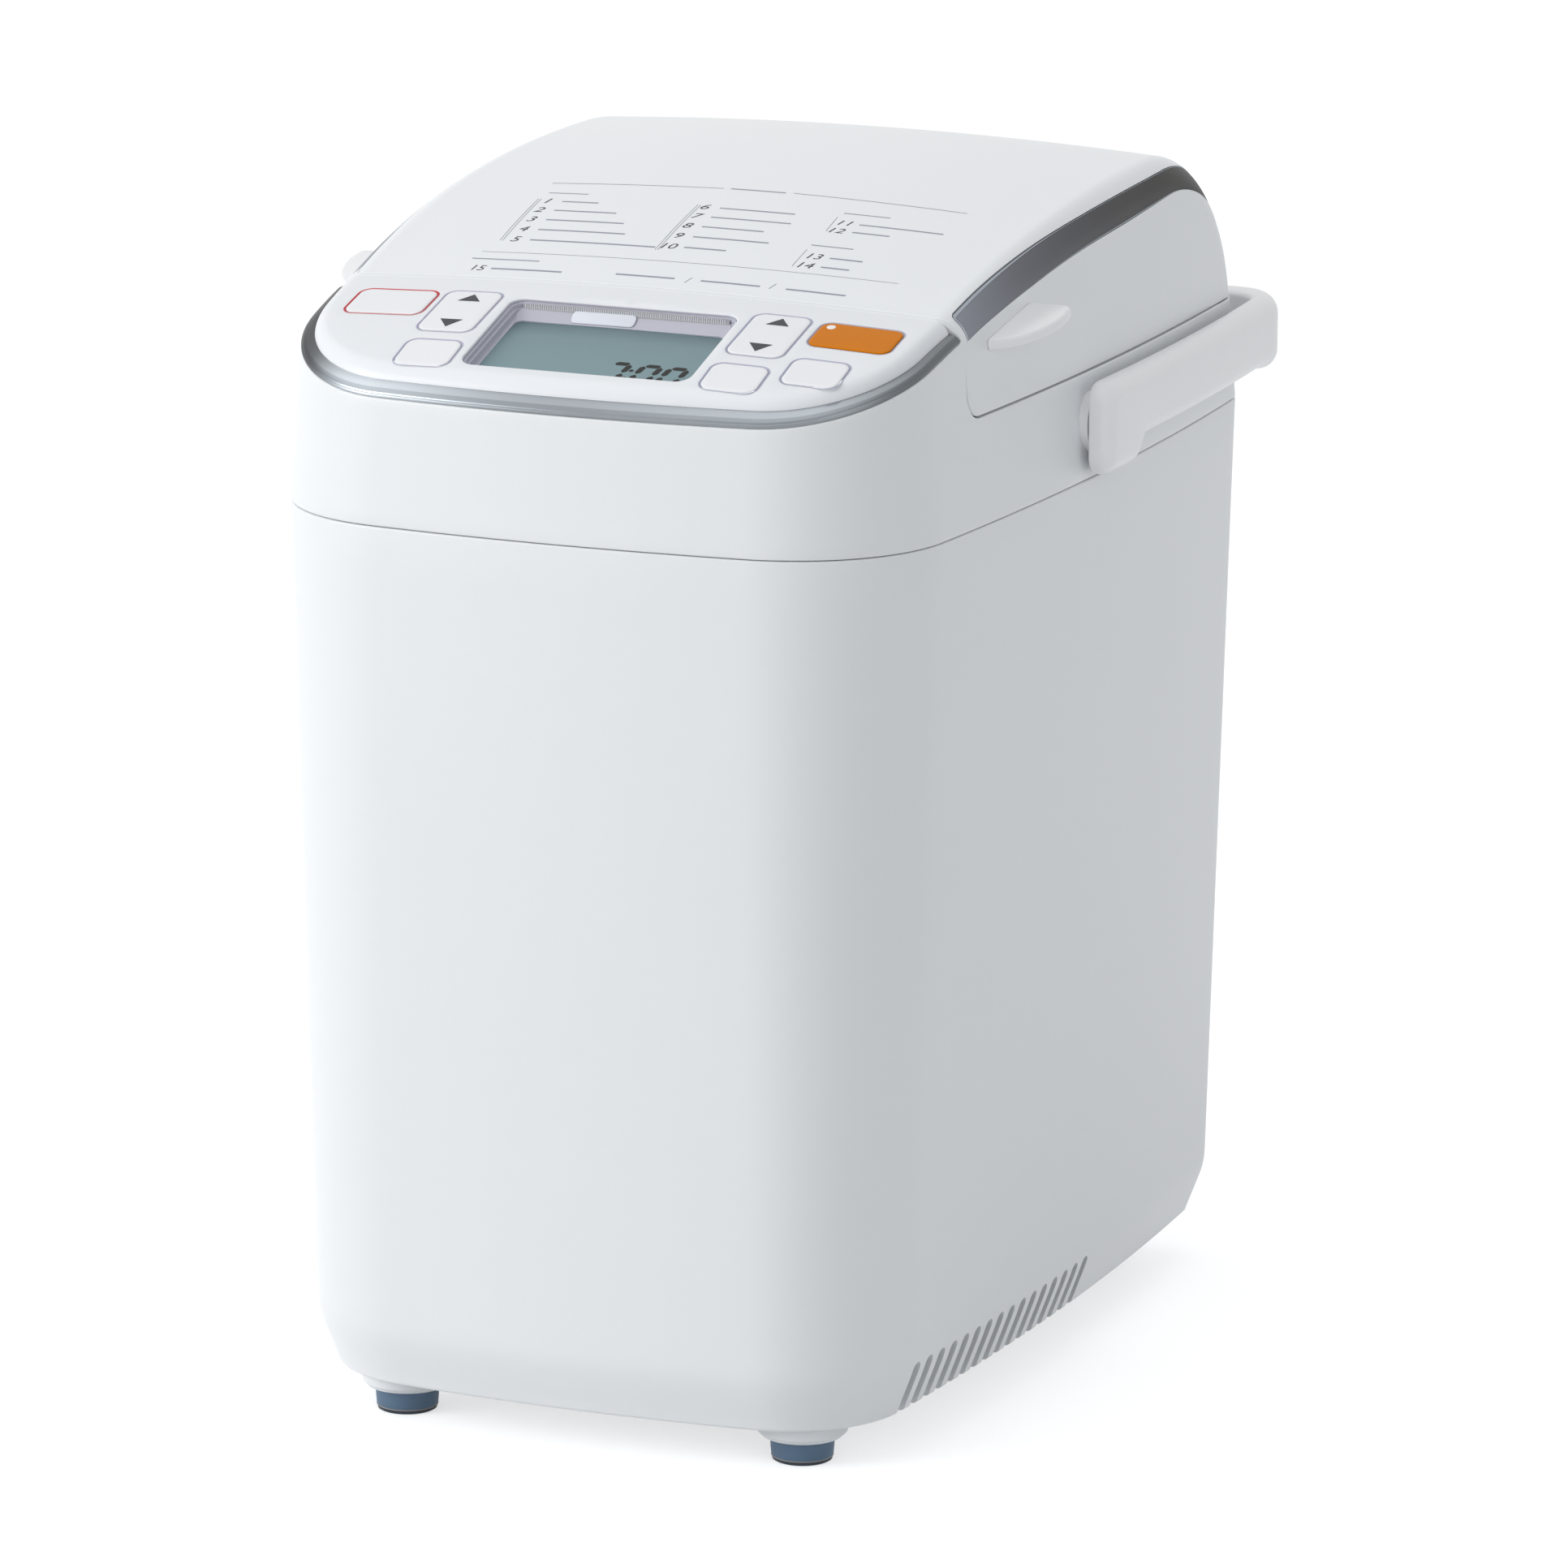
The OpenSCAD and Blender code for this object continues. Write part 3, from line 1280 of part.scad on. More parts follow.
// Belt with a running gap to both pulleys
module drive_belt() place() color("#26282a") {
  translate([0, 0, pulley_z + (pulley_t - belt_w) / 2])
    linear_extrude(belt_w)
      difference() {
        around_pulleys(clear + belt_t);
        around_pulleys(clear);
      }
}
module motor() place() color("#9a9da0") {
  translate([0, motor_y, chassis_z + chassis_t + 0.1])
    difference() {
      union() {
        cylinder(r = motor_r, h = motor_h);
        translate([0, 0, motor_h - eps]) cylinder(r = 10, h = 6);
        for (x = [-1, 1]) translate([x * motor_r - 6, -7, 0]) cube([12, 14, 3]);
      }
      translate([0, 0, -over]) cylinder(r = shaft_r + running_gap, h = 18);
    }
}
module power_board() place() color("#8a6b3a") {
  y = 60;
  z = 100;
  x = -side_x(y) + lower_in(z) + case_wall + 0.3;
  translate([x, y, z]) {
    cube([board_t, 54, 90]);
    translate([board_t - eps, 8, 20]) cube([13, 24, 26]);
    translate([board_t - eps, 6, 60]) cube([9, 18, 18]);
  }
}

// ---- Pan ----
socket_z = chamber_floor_z + sheet_t;
socket_h = 9;
pan_foot_r = 26;
pan_z = coupling_z + coupling_h + 1.5;
pan_rim_z = pan_z + pan_h;
module pan_socket() place() color(silver) {
  at_chamber(socket_z)
    difference() {
      union() {
        cylinder(r = pan_foot_r + 9, h = 2);
        cylinder(r = pan_foot_r + 3.5, h = socket_h);
      }
      translate([0, 0, -over]) cylinder(r = pan_foot_r + 1, h = socket_h + 2 * over);
    }
}
module bread_pan() place() color("#5c5f63") {
  rim_w = 4;
  at_chamber(0)
    difference() {
      union() {
        translate([0, 0, pan_z]) linear_extrude(pan_h) soft_rect(pan_w, pan_d, pan_corner_r);
        // Rolled rim
        translate([0, 0, pan_rim_z - 3]) linear_extrude(3) soft_rect(pan_w + rim_w, pan_d + rim_w, pan_corner_r + 2);
        // Foot ring that drops into the socket
        translate([0, 0, socket_z + 0.3]) cylinder(r = pan_foot_r, h = pan_z - socket_z - 0.3 + eps);
        // Ears for the wire handle
        for (x = [-1, 1])
          translate([x * (pan_w / 2 + 1.8), 0, pan_rim_z - 5]) {
            rotate([0, 90, 0]) cylinder(r = 6, h = 3.6, center = true);
          }
      }
      translate([0, 0, pan_z + pan_floor_t])
        linear_extrude(pan_h) soft_rect(pan_w - 2 * sheet_t, pan_d - 2 * sheet_t, pan_corner_r - sheet_t);
      translate([0, 0, socket_z - over]) cylinder(r = pan_foot_r - 2, h = pan_z - socket_z + over);
      translate([0, 0, pan_z - 5]) cylinder(r = pan_bush_r + fit_gap, h = 20);
      translate([0, 0, pan_rim_z - 5]) rotate([0, 90, 0]) cylinder(r = bail_r + clear, h = pan_w + 40, center = true);
    }
}
pan_bush_r = 6.5;
seal_h = 5.4;
pan_floor_t = 2;
// Seal and bush through which the blade's shaft enters the pan
module pan_seal() place() color("#3a3d40") {
  at_chamber(pan_z - 0.8)
    difference() {
      union() {
        cylinder(r = pan_bush_r, h = seal_h);
        translate([0, 0, 0.8 + pan_floor_t + fit_gap]) cylinder(r = pan_bush_r + 4, h = 2);
      }
      translate([0, 0, -over]) cylinder(r = shaft_r + running_gap, h = seal_h + 2 * over);
    }
}
wing_z = coupling_z + 7.6;
wing_reach = coupling_r + 2;
module pan_shaft() place() color(silver) {
  at_chamber(wing_z) {
    cylinder(r = shaft_r, h = pan_z + 21.2 - wing_z);
    // Wing that the driver's arms push
    translate([-2.5, -wing_reach, 0]) cube([5, 2 * wing_reach, 3.6]);
  }
}
module kneading_blade() place() color("#5c5f63") {
  at_chamber(pan_z + 5.4)
    difference() {
      union() {
        cylinder(r = 8, h = 20);
        hull() {
          translate([0, -2.2, 0]) cube([10, 4.4, 20]);
          translate([blade_len - 8, -1.6, 0]) cube([8, 3.2, 10]);
          translate([blade_len * 0.6, -1.8, 0]) cube([4, 3.6, 34]);
        }
      }
      translate([0, 0, -over]) cylinder(r = shaft_r + pin_gap, h = 17);
    }
}
bail_x = pan_w / 2 + 6;
bail_bend_r = 10;
module bail_arm() {
  translate([bail_x, 0, 0]) sphere(bail_r);
  rotate([0, 90, 0]) translate([0, 0, pan_w / 2 + 0.6]) cylinder(r = bail_r, h = bail_x - pan_w / 2 - 0.6);
  translate([bail_x, 0, 0]) rotate([-90, 0, 0]) cylinder(r = bail_r, h = bail_h - bail_bend_r);
  translate([bail_x - bail_bend_r, bail_h - bail_bend_r, 0])
    rotate_extrude(angle = 90) translate([bail_bend_r, 0]) circle(bail_r);
}
// Wire handle of the pan, folded down towards the rear
module pan_bail() place() color(silver) {
  at_chamber(pan_rim_z - 5) {
    both_sides() bail_arm();
    translate([0, bail_h, 0])
      rotate([0, 90, 0]) cylinder(r = bail_r, h = 2 * (bail_x - bail_bend_r), center = true);
  }
}

lower_case();
upper_case();
base_plate();
rubber_feet();
case_screws();
cord_gland();
panel_trim();
panel_cover();
display_bezel();
display_glass();
display_module();
cancel_key();
course_key();
crust_key();
time_key();
timer_key();
cycle_key();
start_key();
start_lamp();
key_switches();
control_board();
power_board();
lid_cover();
lid_side_right();
lid_side_left();
lid_trim_right();
lid_trim_left();
lid_tabs();
lid_frame();
lid_liner();
lid_gasket();
steam_grille();
hinge_knuckles();
hinge_brackets();
hinge_pins();
carry_handle();
handle_pivots();
chamber();
chamber_rim();
heater();
temperature_sensor();
chassis();
pan_socket();
bread_pan();
pan_bail();
pan_shaft();
pan_seal();
kneading_blade();
motor();
motor_pulley();
drive_belt();
drive_pulley();
drive_shaft();
drive_bearing();
drive_coupling();
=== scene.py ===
from math import asin, atan2, cos, exp, log1p, pi, radians, sin, sqrt

import bmesh
import bpy
from mathutils import Matrix, Vector
from mathutils.bvhtree import BVHTree
from mathutils.geometry import delaunay_2d_cdt, tessellate_polygon


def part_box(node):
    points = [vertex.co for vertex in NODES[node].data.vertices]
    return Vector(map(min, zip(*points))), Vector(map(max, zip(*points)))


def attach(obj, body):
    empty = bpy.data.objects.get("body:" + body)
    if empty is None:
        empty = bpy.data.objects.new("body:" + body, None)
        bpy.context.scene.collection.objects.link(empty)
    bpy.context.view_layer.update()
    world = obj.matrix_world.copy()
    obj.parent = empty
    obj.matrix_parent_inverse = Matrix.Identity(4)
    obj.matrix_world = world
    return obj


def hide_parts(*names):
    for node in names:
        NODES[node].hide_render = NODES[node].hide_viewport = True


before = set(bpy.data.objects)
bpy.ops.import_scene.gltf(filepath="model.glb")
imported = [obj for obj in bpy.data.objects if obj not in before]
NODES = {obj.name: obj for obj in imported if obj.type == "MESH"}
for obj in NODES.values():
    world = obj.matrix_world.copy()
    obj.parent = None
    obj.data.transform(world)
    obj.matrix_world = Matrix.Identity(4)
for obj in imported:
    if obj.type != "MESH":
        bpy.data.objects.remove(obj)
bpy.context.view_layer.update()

# ---------------------------------------------------------------- sizes
# Millimetres, as in the part's source: y runs from the front of the case.
BODY_W, BODY_D = 216.0, 305.5
FRONT_BOW_R, SIDE_BOW_R = 563.0, 1604.0
FRONT_CORNER_R, REAR_CORNER_R = 49.0, 16.0
WIDEST_Y = 170.0
CASE_BOTTOM_Z, PARTING_Z, LID_SEAM_Z = 13.5, 279.5, 311.4
CASE_WALL = 2.4
LOWER_LEAN, UPPER_LEAN = 0.025, 0.07
SKIRT_TOP, SKIRT_LEAN, SKIRT_BEND = 30.0, 0.36, 1.6
SLOT_COUNT, SLOT_PITCH, SLOT_W, SLOT_FIRST_Y = 16, 8.4, 4.6, 50.0
PANEL_R, PANEL_SLOPE, PANEL_FRONT_Z, CROWN_R = 343.0, 24.0, 322.0, 1700.0
PANEL_REAR_Y = 69.2
COVER_INSET, COVER_SIDE_DROP, COVER_ROUND = 7.4, 3.7, 4.2
TRIM_DROP = 5.6
KEY_RISE, KEY_GAP, KEY_CORNER, KEY_BODY = 0.25, 0.4, 3.2, 5.2
WINDOW_W, WINDOW_D, WINDOW_Y, WINDOW_CORNER = 73.0, 42.0, 35.0, 4.5
LID_TOP_Z, LID_TOP_Y = 366.5, 235.0
LID_WALL, LID_GAP = 2.2, 0.6
LID_EDGE_R, LID_REAR_R, LID_CROWN = 9.0, 13.5, 3.2
TAB_OUT, TAB_LEN, TAB_T, TAB_Y, TAB_Z, TAB_SLOPE = 14.5, 34.0, 3.6, 101.0, 334.5, 11.0
PIVOT_Y, PIVOT_Z, PIVOT_R = 158.0, 296.5, 5.0
HANDLE_GAP, ARM_T, ARM_TOP_Z, ARM_BOTTOM_Z = 2.8, 8.0, 310.0, 288.5
PADDLE_BOTTOM_Z, PADDLE_FRONT, PADDLE_LEN, PADDLE_SLANT = 281.5, 11.5, 24.0, 9.0
GRIP_T, GRIP_GAP, GRIP_BOTTOM_Z, ARM_CORNER_R = 15.0, 6.0, 284.5, 10.0
CHAMBER_Y = 190.0
FIT = 0.15
PIVOT_IN = UPPER_LEAN * (PIVOT_Z - PARTING_Z)
ARM_END_Y = BODY_D + GRIP_GAP - PIVOT_IN - ARM_CORNER_R
OVERALL_D = ARM_END_Y + ARM_CORNER_R + GRIP_T
LID_Z = LID_SEAM_Z + LID_GAP
PUSH_KEYS = {
    "cancel": ((-73.8, 48.8), (25.0, 16.0)),
    "crust": ((-48.4, 19.8), (17.4, 14.2)),
    "timer": ((49.4, 19.8), (17.4, 14.2)),
    "cycle": ((71.8, 27.0), (17.4, 14.4)),
    "start": ((75.2, 49.4), (25.6, 15.2)),
}
ROCKER_KEYS = {
    "course": ((-49.4, 44.6), (17.6, 26.2)),
    "time": ((49.6, 45.0), (17.6, 26.2)),
}
KEYS = {**PUSH_KEYS, **ROCKER_KEYS}
LAMP_IN, LAMP_R = (-9.6, 4.6), 1.3


def metres(p):
    """A point in millimetres from the case's front, in the shared frame."""
    return Vector((p[0] / 1000, (p[1] - OVERALL_D / 2) / 1000, p[2] / 1000))


def mix(a, b, t):
    return a + (b - a) * t


def steps(a, b, n):
    return [mix(a, b, i / n) for i in range(n + 1)]


def quarter(n, across, down=None):
    """Pairs from (0, down) to (across, 0) round a quarter turn."""
    down = across if down is None else down
    return [(across * (1 - cos(a)), down * (1 - sin(a))) for a in steps(0, pi / 2, n)]


# ---------------------------------------------------------------- outline of the case
FRONT_C = Vector((0, FRONT_BOW_R))
SIDE_C = Vector((BODY_W / 2 - SIDE_BOW_R, WIDEST_Y))


def circles_meet(c0, r0, c1, r1):
    span = (c1 - c0).length
    along = (span * span + r0 * r0 - r1 * r1) / (2 * span)
    aside = sqrt(r0 * r0 - along * along)
    u = (c1 - c0) / span
    w = Vector((-u.y, u.x))
    a, b = c0 + along * u + aside * w, c0 + along * u - aside * w
    return a if a.y < b.y else b


CORNER_C = circles_meet(
    FRONT_C, FRONT_BOW_R - FRONT_CORNER_R, SIDE_C, SIDE_BOW_R - FRONT_CORNER_R
)


def heading(a, b):
    return atan2(b.x - a.x, -(b.y - a.y))


CORNER_START, CORNER_END = heading(FRONT_C, CORNER_C), heading(SIDE_C, CORNER_C)


def on_arc(c, r, h):
    return Vector((c.x + r * sin(h), c.y - r * cos(h)))


def side_x(y, d=0.0):
    return SIDE_C.x + sqrt((SIDE_BOW_R - d) ** 2 - (y - WIDEST_Y) ** 2)


def front_half(d, n_front=14, n_corner=22):
    """From the middle of the front round the right corner, the outline moved in by d."""
    pts = [on_arc(FRONT_C, FRONT_BOW_R - d, h) for h in steps(0, CORNER_START, n_front)]
    r = FRONT_CORNER_R - d
    return pts + [on_arc(CORNER_C, r, h) for h in steps(CORNER_START, CORNER_END, n_corner)[1:]]


def side_ys(end, extra=()):
    start = on_arc(CORNER_C, FRONT_CORNER_R, CORNER_END).y + 2
    return sorted(set([y for y in steps(start, end, 18)] + [y for y in extra if y < end]))


def half_plan(d, extra=()):
    pts = front_half(d)
    pts += [Vector((side_x(y, d), y)) for y in side_ys(286, extra)]
    r = max(REAR_CORNER_R - d, 1)
    cy = BODY_D - d - r
    c = Vector((SIDE_C.x + sqrt((SIDE_BOW_R - d - r) ** 2 - (cy - WIDEST_Y) ** 2), cy))
    pts += [on_arc(c, r, h) for h in steps(heading(SIDE_C, c), pi, 10)]
    x, y = pts[-1]
    return pts + [Vector((x * t, y)) for t in (0.66, 0.33, 0)]


def plan(d, extra=()):
    right = half_plan(d, extra)
    return right + [Vector((-p.x, p.y)) for p in right[-2:0:-1]]


def soft_skirt(z):
    """The leaning band's inset, with a soft bend at its top."""
    a = (SKIRT_TOP - z) / SKIRT_BEND
    return SKIRT_BEND * (a if a > 20 else log1p(exp(a)))


def lower_in(z):
    return LOWER_LEAN * (PARTING_Z - z) + SKIRT_LEAN * soft_skirt(z)


def upper_in(z):
    return UPPER_LEAN * (z - PARTING_Z)


# ---------------------------------------------------------------- the panel's curve
BARREL_Y = PANEL_R * sin(radians(PANEL_SLOPE))
BARREL_Z = PANEL_FRONT_Z - PANEL_R * cos(radians(PANEL_SLOPE))


def crown_drop(x):
    return CROWN_R - sqrt(CROWN_R * CROWN_R - x * x)


def panel_z(x, y, drop=0.0):
    return BARREL_Z + sqrt((PANEL_R - drop - crown_drop(x)) ** 2 - (y - BARREL_Y) ** 2)


def panel_frame(x, y):
    """Axes of the panel's curve at x, y: across, towards the rear, and outwards."""
    lean = asin((BARREL_Y - y) / (PANEL_R - crown_drop(x)))
    roll = asin(x / CROWN_R)
    m = Matrix.Rotation(lean, 3, "X") @ Matrix.Rotation(roll, 3, "Y")
    return m.col[0].copy(), m.col[1].copy(), m.col[2].copy()


def on_panel(at, a, b, height=0.0):
    """The point a, b from a place on the panel, measured in its tangent plane."""
    ex, ey, _ = panel_frame(*at)
    x, y = at[0] + a * ex.x + b * ey.x, at[1] + a * ex.y + b * ey.y
    n = panel_frame(x, y)[2]
    return Vector((x, y, panel_z(x, y))) + height * n


# ---------------------------------------------------------------- mesh helpers
MERGE_DIST = 2e-6  # metres


def add_object(name, data):
    obj = bpy.data.objects.new(name, data)
    bpy.context.scene.collection.objects.link(obj)
    return obj


def shade(obj, sharp):
    """Smooth, but for edges sharper than an angle."""
    obj.data.polygons.foreach_set("use_smooth", [True] * len(obj.data.polygons))
    obj.data.set_sharp_from_angle(angle=radians(sharp))


def finish(obj, body, node=None, sharp=40):
    """Shades a piece, puts it on its body, and hides the node it stands in for."""
    shade(obj, sharp)
    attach(obj, body)
    if node:
        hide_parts(node)
    return obj


def cut(obj, *cutters):
    """Takes the cutters out of a piece and removes them."""
    for c in cutters:
        mod = obj.modifiers.new("cut", "BOOLEAN")
        mod.operation, mod.solver, mod.object = "DIFFERENCE", "EXACT", c
    graph = bpy.context.evaluated_depsgraph_get()
    data = bpy.data.meshes.new_from_object(obj.evaluated_get(graph))
    obj.modifiers.clear()
    obj.data = data
    for c in cutters:
        bpy.data.objects.remove(c)


class Build:
    """Collects points (in millimetres) and faces of one piece."""

    def __init__(self):
        self.v, self.f = [], []

    def add(self, verts, faces):
        base = len(self.v)
        self.v += [tuple(p) for p in verts]
        self.f += [tuple(base + i for i in f) for f in faces]

    def rings(self, rings, closed=True):
        n = len(rings[0])
        self.add([p for r in rings for p in r], [
            (j * n + i, j * n + (i + 1) % n, (j + 1) * n + (i + 1) % n, (j + 1) * n + i)
            for j in range(len(rings) - 1) for i in range(n if closed else n - 1)
        ])
        return self

    def grid(self, rows):
        return self.rings(rows, closed=False)

    def fan(self, loop):
        self.add(loop, [range(len(loop))])
        return self

    def mesh(self, name, material, merge=True):
        """The mesh object, which no body carries yet."""
        data = bpy.data.meshes.new(name)
        data.from_pydata([metres(v) for v in self.v], [], self.f)
        bm = bmesh.new()
        bm.from_mesh(data)
        if merge:
            bmesh.ops.remove_doubles(bm, verts=bm.verts, dist=MERGE_DIST)
        bmesh.ops.recalc_face_normals(bm, faces=bm.faces)
        bm.to_mesh(data)
        bm.free()
        data.materials.append(material)
        return add_object(name, data)

    def piece(self, name, body, material, slot, node=None, sharp=40, cutters=(), merge=True):
        obj = self.mesh(name, material, merge)
        if cutters:
            cut(obj, *cutters)
        return finish(obj, body, node, sharp)


def prism(name, low, high):
    """Closed mesh data between two outlines of the same count, in metres."""
    n = len(low)
    faces = [tuple(range(n - 1, -1, -1)), tuple(range(n, 2 * n))]
    faces += [(i, (i + 1) % n, n + (i + 1) % n, n + i) for i in range(n)]
    data = bpy.data.meshes.new(name)
    data.from_pydata(low + high, [], faces)
    return data


def circle(r, n):
    return [(r * cos(a), r * sin(a)) for a in steps(0, 2 * pi, n)[:-1]]


def rounded_rect(w, d, r, n=7):
    pts = []
    for cx, cy, a0 in ((1, 1, 0), (-1, 1, 90), (-1, -1, 180), (1, -1, 270)):
        for a in (radians(a0 + 90 * k / n) for k in range(n + 1)):
            pts.append((cx * (w / 2 - r) + r * cos(a), cy * (d / 2 - r) + r * sin(a)))
    return pts


def panel_ring(at, w, d, r, height=0.0, n=8, shift=(0, 0)):
    """A rounded rectangle in the tangent plane at a place on the panel, at a height over the panel."""
    return [on_panel(at, p + shift[0], q + shift[1], height) for p, q in rounded_rect(w, d, r, n)]


def inside(p, loop):
    hit = False
    for a, b in zip(loop, loop[-1:] + loop[:-1]):
        if (a[1] > p[1]) != (b[1] > p[1]):
            if p[0] < (b[0] - a[0]) * (p[1] - a[1]) / (b[1] - a[1]) + a[0]:
                hit = not hit
    return hit


def drape(outer, holes, spacing, lift):
    """Triangles over an outline with holes, lifted onto a surface z = lift(x, y)."""
    pts, edges = [], []
    for loop in [outer] + holes:
        base = len(pts)
        pts += [Vector((p[0], p[1])) for p in loop]
        edges += [(base + i, base + (i + 1) % len(loop)) for i in range(len(loop))]
    xs, ys = [p[0] for p in outer], [p[1] for p in outer]
    rim = [(p.x, p.y) for p in pts]
    clear = (spacing * 0.55) ** 2  # no point closer to the rim than about half a spacing

    def on_sheet(p):
        return inside(p, outer) and not any(inside(p, h) for h in holes)

    y, row = min(ys), 0
    while y < max(ys):
        x = min(xs) + (spacing / 2 if row % 2 else 0)
        while x < max(xs):
            if on_sheet((x, y)) and all((x - q[0]) ** 2 + (y - q[1]) ** 2 > clear for q in rim):
                pts.append(Vector((x, y)))
            x += spacing
        y += spacing * 0.866
        row += 1
    co, _, faces = delaunay_2d_cdt(pts, edges, [], 0, 1e-7)[:3]
    keep = [f for f in faces if on_sheet(sum((co[i] for i in f), Vector((0, 0))) / len(f))]
    return [(p.x, p.y, lift(p.x, p.y)) for p in co], keep


# ---------------------------------------------------------------- materials
def linear(hexa, share=1.0):
    """Linear RGBA of an sRGB hex colour, scaled by a share and kept at most 1."""
    out = []
    for i in (1, 3, 5):
        c = int(hexa[i : i + 2], 16) / 255
        out.append(min(1, share * (c / 12.92 if c <= 0.04045 else ((c + 0.055) / 1.055) ** 2.4)))
    return (*out, 1)


def add_node(tree, kind, feeds=None, **settings):
    """A new node, or one that is there, with its settings; feeds are its inputs' values or sockets."""
    node = tree.nodes.new(kind) if isinstance(kind, str) else kind
    for key, value in settings.items():
        setattr(node, key, value)
    for key, value in (feeds or {}).items():
        if isinstance(value, bpy.types.NodeSocket):
            tree.links.new(value, node.inputs[key])
        else:
            node.inputs[key].default_value = value
    return node


def base_material(name, colour, roughness, metallic=0.0, coat=0.0, ior=1.5):
    m = bpy.data.materials.new(name)
    m.use_nodes = True
    m.diffuse_color = linear(colour)
    shader = add_node(m.node_tree, m.node_tree.nodes["Principled BSDF"], {
        "Base Color": linear(colour), "Roughness": roughness, "Metallic": metallic, "IOR": ior,
        "Coat Weight": coat, "Coat Roughness": 0.12,
    })
    return m, m.node_tree, shader


ROUGH_DRIFT = 0.04


def made(name, colour, roughness, drift, drift_mm, depth_mm, grain_mm=0.4, stretch=(1, 1, 1), **more):
    """Colour and gloss drift slightly over drift_mm; a grain of grain_mm has a real depth.

    The real grain is 0.05 to 0.1 mm, too fine to show, so it is drawn four times as coarse.
    """
    m, tree, shader = base_material(name, colour, roughness, **more)
    where = add_node(tree, "ShaderNodeTexCoord").outputs["Object"]
    cloud = add_node(tree, "ShaderNodeTexNoise", {"Vector": where, "Scale": 1000 / drift_mm, "Detail": 3})
    fade = cloud.outputs["Fac"]
    tone = add_node(
        tree, "ShaderNodeMix", {0: fade, 6: linear(colour, 1 - drift), 7: linear(colour, 1 + drift * 0.6)},
        data_type="RGBA",
    )
    gloss = add_node(tree, "ShaderNodeMapRange", {
        "Value": fade, "To Min": max(0.02, roughness - ROUGH_DRIFT), "To Max": roughness + ROUGH_DRIFT,
    })
    turned = add_node(tree, "ShaderNodeMapping", {"Vector": where, "Scale": stretch}).outputs["Vector"]
    grain = add_node(tree, "ShaderNodeTexNoise", {"Vector": turned, "Scale": 1000 / grain_mm, "Detail": 2})
    bump = add_node(tree, "ShaderNodeBump", {
        "Height": grain.outputs["Fac"], "Strength": 1.0, "Distance": depth_mm / 1000,
    })
    add_node(tree, shader, {
        "Base Color": tone.outputs[2], "Roughness": gloss.outputs["Result"], "Normal": bump.outputs["Normal"],
    })
    return m


def graded(m, axis, *stops):
    """Paints light and shade into a material: multiplies its colour by greys that follow one axis, places in
    millimetres.
    """
    tree = m.node_tree
    shader = tree.nodes["Principled BSDF"]
    low, high = stops[0][0], stops[-1][0]
    where = add_node(tree, "ShaderNodeTexCoord").outputs["Object"]
    split = add_node(tree, "ShaderNodeSeparateXYZ", {0: where})
    span = add_node(tree, "ShaderNodeMapRange", {
        "Value": split.outputs[axis], "From Min": low / 1000, "From Max": high / 1000,
    })
    ramp = add_node(tree, "ShaderNodeValToRGB", {"Fac": span.outputs["Result"]})
    ramp.color_ramp.interpolation = "B_SPLINE"
    elements = ramp.color_ramp.elements
    while len(elements) < len(stops):
        elements.new(0.5)
    for element, (place, _) in zip(elements, stops):
        element.position = (place - low) / (high - low)
    for element, (_, colour) in zip(elements, stops):
        element.color = linear(colour)
    plain = shader.inputs["Base Color"].links[0].from_socket
    product = add_node(
        tree, "ShaderNodeMix", {0: 1.0, 6: plain, 7: ramp.outputs["Color"]},
        data_type="RGBA", blend_type="MULTIPLY",
    )
    add_node(tree, shader, {"Base Color": product.outputs[2]})
    return m


# Moulded ABS, fine spark grain: cool white with a soft satin sheen and no sharp reflections
ABS = made("white_abs_satin", "#F0F2F4", 0.34, 0.012, 60, 0.0025)
# Moulded ABS from a polished tool: the same white, a little glossier, with a thin clear sheen
LID_ABS = made("lid_white_abs_satin", "#F2F4F6", 0.3, 0.01, 70, 0.002, coat=0.15)
# Moulded ABS as on the case, drawn a little whiter: painted light, as the handle and tabs catch more light
# than the case
HANDLE_ABS = made("bright_white_abs", "#FCFCFD", 0.34, 0.01, 60, 0.0025)
# Printed polyester film over the key caps: flat, clean white
KEY_ABS = made("key_film_satin_white", "#F3F4F6", 0.36, 0.008, 20, 0.002)
# Polyester film bonded to the moulded panel: flat white, a shade greyer than the keys
PANEL_FILM = made("panel_film_satin_white", "#EFF1F4", 0.36, 0.01, 35, 0.002)
# Chrome-plated ABS, satin: a cool silver band with soft broad highlights
CHROME_SATIN = made("satin_chrome_trim", "#C9D0D6", 0.28, 0.05, 25, 0.001, 0.2, metallic=1.0)
# The same plating on the trim's outer slope, drawn darker: painted shade, as that slope faces down
CHROME_MID = made("satin_chrome_shaded", "#B0B7BD", 0.3, 0.05, 25, 0.001, 0.2, metallic=1.0)
# The same plating on the fine lower lip, duller and drawn darker: painted shade of the groove under the trim
CHROME_LIP = made("satin_chrome_lower_lip", "#B4BBC1", 0.34, 0.05, 25, 0.001, 0.2, metallic=0.8)
# Painted reflection and shade: greys along X darken the trim at the left corner and the right side and leave
# it lightest at the front left
for chrome in (CHROME_SATIN, CHROME_MID, CHROME_LIP):
    graded(
        chrome, "X", (-108, "#585858"), (-87, "#3A3A3A"), (-74, "#F4F4F4"), (-58, "#F0F0F0"),
        (-20, "#B0B0B0"), (20, "#B4B4B4"), (76, "#D4D4D4"), (94, "#949494"), (108, "#808080"),
    )
